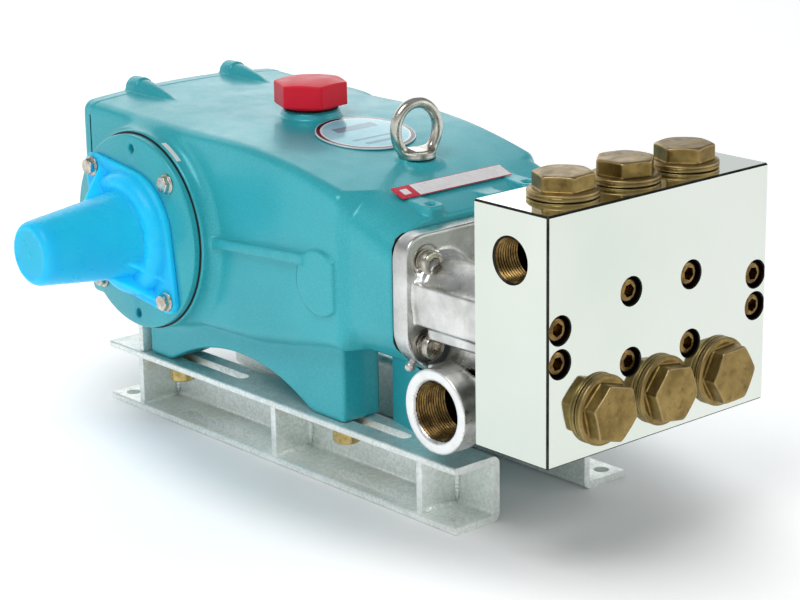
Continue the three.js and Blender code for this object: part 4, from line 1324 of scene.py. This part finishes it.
def rail_outline():
    """A channel that opens outwards, with its bends rounded inside and out."""
    t, web, edge, top = RAIL_THICK, RAIL_WEB, RAIL_EDGE, RAIL_TOP
    points = [(edge, 0.8), (edge, t - 0.8), (edge - 0.8, t)]
    for cx, cz, radius, start, sweep in (
            (web + t + 3, t + 3, 3, -90, -90), (web + t + 3, top - t - 3, 3, 180, -90)):
        points += [
            (cx + radius * math.cos(math.radians(start + sweep * k / 5)),
             cz + radius * math.sin(math.radians(start + sweep * k / 5))) for k in range(6)]
    points += [(edge - 0.8, top - t), (edge, top - t + 0.8), (edge, top - 0.8), (edge - 0.8, top)]
    for cx, cz, radius, start, sweep in (
            (web + 7, top - 7, 7, 90, 90), (web + 7, 7, 7, 180, 90)):
        points += [
            (cx + radius * math.cos(math.radians(start + sweep * k / 8)),
             cz + radius * math.sin(math.radians(start + sweep * k / 8))) for k in range(9)]
    return points + [(edge - 0.8, 0.0)]


def weld(name, start, end, radius, seed):
    """A bead of small overlapping ripples along a straight line."""
    random = np.random.default_rng(seed)
    start, end = np.array(start, dtype=float), np.array(end, dtype=float)
    length = np.linalg.norm(end - start)
    along = (end - start) / length
    side = np.cross(along, (0.31, 0.52, 0.79))
    side /= np.linalg.norm(side)
    other = np.cross(along, side)
    count = int(length / 0.6)
    body = bmesh.new()
    rings = []
    wobble = random.normal(0, 0.35, (count + 1, 2)).cumsum(0) * 0.35
    wobble -= np.linspace(0, 1, count + 1)[:, None] * wobble[-1]
    for k in range(count + 1):
        share = k / count
        ripple = 1 + 0.22 * abs(math.sin(math.pi * share * length / 3.1))
        taper = min(1.0, 3.5 * min(share, 1 - share) + 0.15)
        middle = start + along * length * share + side * wobble[k, 0] + other * wobble[k, 1]
        rings.append([
            body.verts.new((middle + radius * ripple * taper * (
                side * math.cos(angle) + other * math.sin(angle))) * MM + ORIGIN)
            for angle in np.linspace(0, 2 * math.pi, 10, endpoint=False)])
    for a, b in zip(rings, rings[1:]):
        for k in range(10):
            body.faces.new([a[k], a[(k + 1) % 10], b[(k + 1) % 10], b[k]])
    body.faces.new(rings[0])
    body.faces.new(rings[-1])
    bmesh.ops.recalc_face_normals(body, faces=body.faces)
    return finished(name, body, 60)


def slot_tool(x, y0, y1, z0, z1, width):
    outline = rounded_outline(x - width / 2, x + width / 2, y0, y1, width / 2 - 0.01, 10)
    return extruded("slot", "z", outline, z0, z1)


def add_rail(side):
    name = "left" if side < 0 else "right"
    outline = [(side * x, z) for x, z in rail_outline()]
    body = extruded(f"{name}_rail_channel", "y", outline, RAIL_FRONT, RAIL_REAR)
    tools = [
        slot_tool(side * 67, 187, 270, RAIL_TOP - 10, RAIL_TOP + 5, 11),
        slot_tool(side * 67, 383, 487, RAIL_TOP - 10, RAIL_TOP + 5, 11),
        slot_tool(side * 73, 187, 267, -5, 10, 11), slot_tool(side * 73, 369, 459, -5, 10, 11)]
    tools += [bore("z", (side * 75, y), 6, -5, 10, 48) for y in (127.5, 530)]
    channel = combined(body, tools)
    inner, outer = RAIL_WEB + 2, RAIL_EDGE - 3
    shells = [channel]
    for y in GUSSETS:
        span = sorted((side * inner, side * outer))
        shells.append(cuboid(
            "gusset", (span, (y - 3, y + 3), (2.5, RAIL_TOP - 2.5)), 0.5, 2))
    piece(f"{name}_rail_channel", merged(f"{name}_rail_channel", shells), "bright_zinc",
          replaces=[f"{name}_rail"])
    beads = []
    for k, y in enumerate(GUSSETS):
        for face in (-1, 1):
            at = y + face * 3.8
            seed = 100 * k + 10 * face + side + 20
            low_z, high_z = RAIL_THICK + 0.5, RAIL_TOP - RAIL_THICK - 0.5
            near, far = side * (RAIL_WEB + RAIL_THICK + 1.5), side * (RAIL_EDGE - 5)
            beads.append(weld("bead", (near, at, low_z), (far, at, low_z), 2.4, seed))
            beads.append(weld("bead", (near, at, low_z + 1), (near, at, high_z - 8), 1.9, seed + 1))
            beads.append(weld("bead", (near, at, high_z), (far, at, high_z), 1.7, seed + 2))
    piece(f"{name}_rail_welds", merged(f"{name}_rail_welds", beads), "bright_zinc")


def add_base():
    for side in (-1, 1):
        add_rail(side)
    low, high = reach("rear_cross_plate")
    plate = cuboid("cross_plate_bar", list(zip(low, high)), 0.7, 2)
    tools = [bore("y", (side * 30, low[2] + 13), 5, low[1] - 5, high[1] + 5, 48) for side in (-1, 1)]
    piece("cross_plate_bar", combined(plate, tools), "bright_zinc", replaces=["rear_cross_plate"])

    nut = hexagon_head("nut", 19, 13.5, 12.6, 2.2)
    for row in ("front", "rear"):
        for name in ("left", "right"):
            node = f"{row}_{name}_foot_bolt"
            low, high = reach(node)
            x, y = (low[0] + high[0]) / 2, (low[1] + high[1]) / 2
            seat = RAIL_TOP - RAIL_THICK - GAP
            washer = turned("washer", "z", [
                (5.1, seat - 2), (12.9, seat - 2), (13.3, seat - 1.6), (13.3, seat - 0.4),
                (12.9, seat), (5.1, seat)], (x, y), 48)
            steps = np.arange(low[2] + 1, high[2] - 1, 1.6)
            ribs = [(0, low[2]), (4.2, low[2])]
            for z in steps:
                ribs += [(5.0, z), (4.55, z + 0.8)]
            ribs += [(4.4, high[2]), (0, high[2])]
            stud = turned("stud", "z", ribs, (x, y), 32)
            shells = [placed(nut, "-z", (x, y, seat - 2.02), 0.3), washer, stud]
            mesh = merged(f"{node}_set", shells)
            piece(mesh.name, mesh, "yellow_zinc", replaces=[node])


# Camera, floor and lights.
CAMERA_PLACE = (-1164.6, -1061.3, 647.0)
CAMERA_AZIMUTH, CAMERA_ELEVATION, CAMERA_ROLL = -41.26, 16.286, -0.885


def add_camera():
    data = bpy.data.cameras.new("camera")
    data.lens = 107.4
    data.sensor_width = 36.0
    data.shift_x = -0.006
    data.shift_y = -0.007
    data.clip_start, data.clip_end = 0.05, 50
    camera = bpy.data.objects.new("camera", data)
    bpy.context.scene.collection.objects.link(camera)
    azimuth, elevation = math.radians(CAMERA_AZIMUTH), math.radians(CAMERA_ELEVATION)
    forward = Vector((
        -math.sin(azimuth) * math.cos(elevation), math.cos(azimuth) * math.cos(elevation),
        -math.sin(elevation)))
    camera.location = Vector(np.array(CAMERA_PLACE) * MM + ORIGIN)
    turn = forward.to_track_quat("-Z", "Y").to_matrix().to_4x4()
    turn = turn @ Matrix.Rotation(math.radians(CAMERA_ROLL), 4, "Z")
    camera.rotation_euler = turn.to_euler()
    bpy.context.scene.camera = camera


def add_light(name, place, target, size, power, colour=(1, 1, 1)):
    data = bpy.data.lights.new(name, "AREA")
    data.shape = "RECTANGLE"
    data.size, data.size_y = size
    data.energy = power
    data.color = colour
    light = bpy.data.objects.new(name, data)
    bpy.context.scene.collection.objects.link(light)
    light.location = place
    light.rotation_euler = (Vector(target) - Vector(place)).to_track_quat("-Z", "Y").to_euler()


def add_studio():
    floor = bpy.data.meshes.new("floor")
    body = bmesh.new()
    bmesh.ops.create_grid(body, x_segments=2, y_segments=2, size=12.0)
    body.to_mesh(floor)
    body.free()
    s = Shader("floor_pale")
    base = s.mix(s.ramp(s.noise(0.8), 0.0, 1.0), (0.90, 0.90, 0.90), (0.93, 0.93, 0.93))
    s.set(Base_Color=base, Roughness=0.7, Specular_IOR_Level=0.2)
    # The floor glows evenly far out. The glow fades to nothing in an oval under the pump, a painted
    # shadow beneath it.
    painted_shade_oval = s.add("ShaderNodeMapping", Vector=s.where)
    painted_shade_oval.inputs["Scale"].default_value = (7.5, 3.6, 1.0)
    far = s.add("ShaderNodeVectorMath", Vector=painted_shade_oval.outputs[0])
    far.operation = "LENGTH"
    glow = s.ramp(far.outputs["Value"], 0.0, 0.42, 0.85, 1.5)
    s.set(Emission_Color=(1, 1, 1, 1), Emission_Strength=glow)
    floor.materials.append(s.material)
    stage = bpy.data.objects.new("floor", floor)
    bpy.context.scene.collection.objects.link(stage)
    stage.location = (0, 0, -0.0002)

    world = bpy.data.worlds.new("studio")
    bpy.context.scene.world = world
    world.use_nodes = True
    tree = world.node_tree
    sky = tree.nodes["Background"]
    place = tree.nodes.new("ShaderNodeTexCoord")
    split = tree.nodes.new("ShaderNodeSeparateXYZ")
    ramp = tree.nodes.new("ShaderNodeValToRGB")
    tree.links.new(place.outputs["Generated"], split.inputs[0])
    tree.links.new(split.outputs["Z"], ramp.inputs[0])
    stops = ramp.color_ramp.elements
    stops[0].position, stops[0].color = 0.06, (1.0, 1.0, 1.0, 1)
    stops[1].position, stops[1].color = 1.0, (0.26, 0.27, 0.28, 1)
    stops.new(0.22).color = (0.72, 0.74, 0.75, 1)
    stops.new(0.42).color = (0.30, 0.31, 0.32, 1)
    tree.links.new(ramp.outputs[0], sky.inputs["Color"])
    sky.inputs["Strength"].default_value = 1.0
    bpy.context.scene.view_settings.view_transform = "Standard"

    add_light("key", (-1.3, -0.4, 2.2), (0, 0, 0.1), (1.5, 1.1), 22)
    add_light("fill", (1.6, -1.8, 1.1), (0, 0, 0.1), (1.6, 1.2), 6)
    add_light("rim", (0.9, 2.4, 1.5), (0, 0, 0.15), (3.2, 1.8), 20)


def paint_frame():
    """Every CAD node whose slot has a look here gets that material, shown or not."""
    for part in frame["record"]["subparts"]:
        node = frame["nodes"][part["node"]]
        look = LOOKS.get(part["material_slot"])
        if look is None:
            continue
        node.data.materials.clear()
        node.data.materials.append(look)


add_camera()
add_studio()
paint_frame()
add_crankcase()
add_rear_cover()
add_guard()
for way in (-1, 1):
    add_bearing_cover(way)
add_sticker()
add_manifold()
add_block()
add_plugs()
add_filler()
add_eye()
add_labels()
add_base()
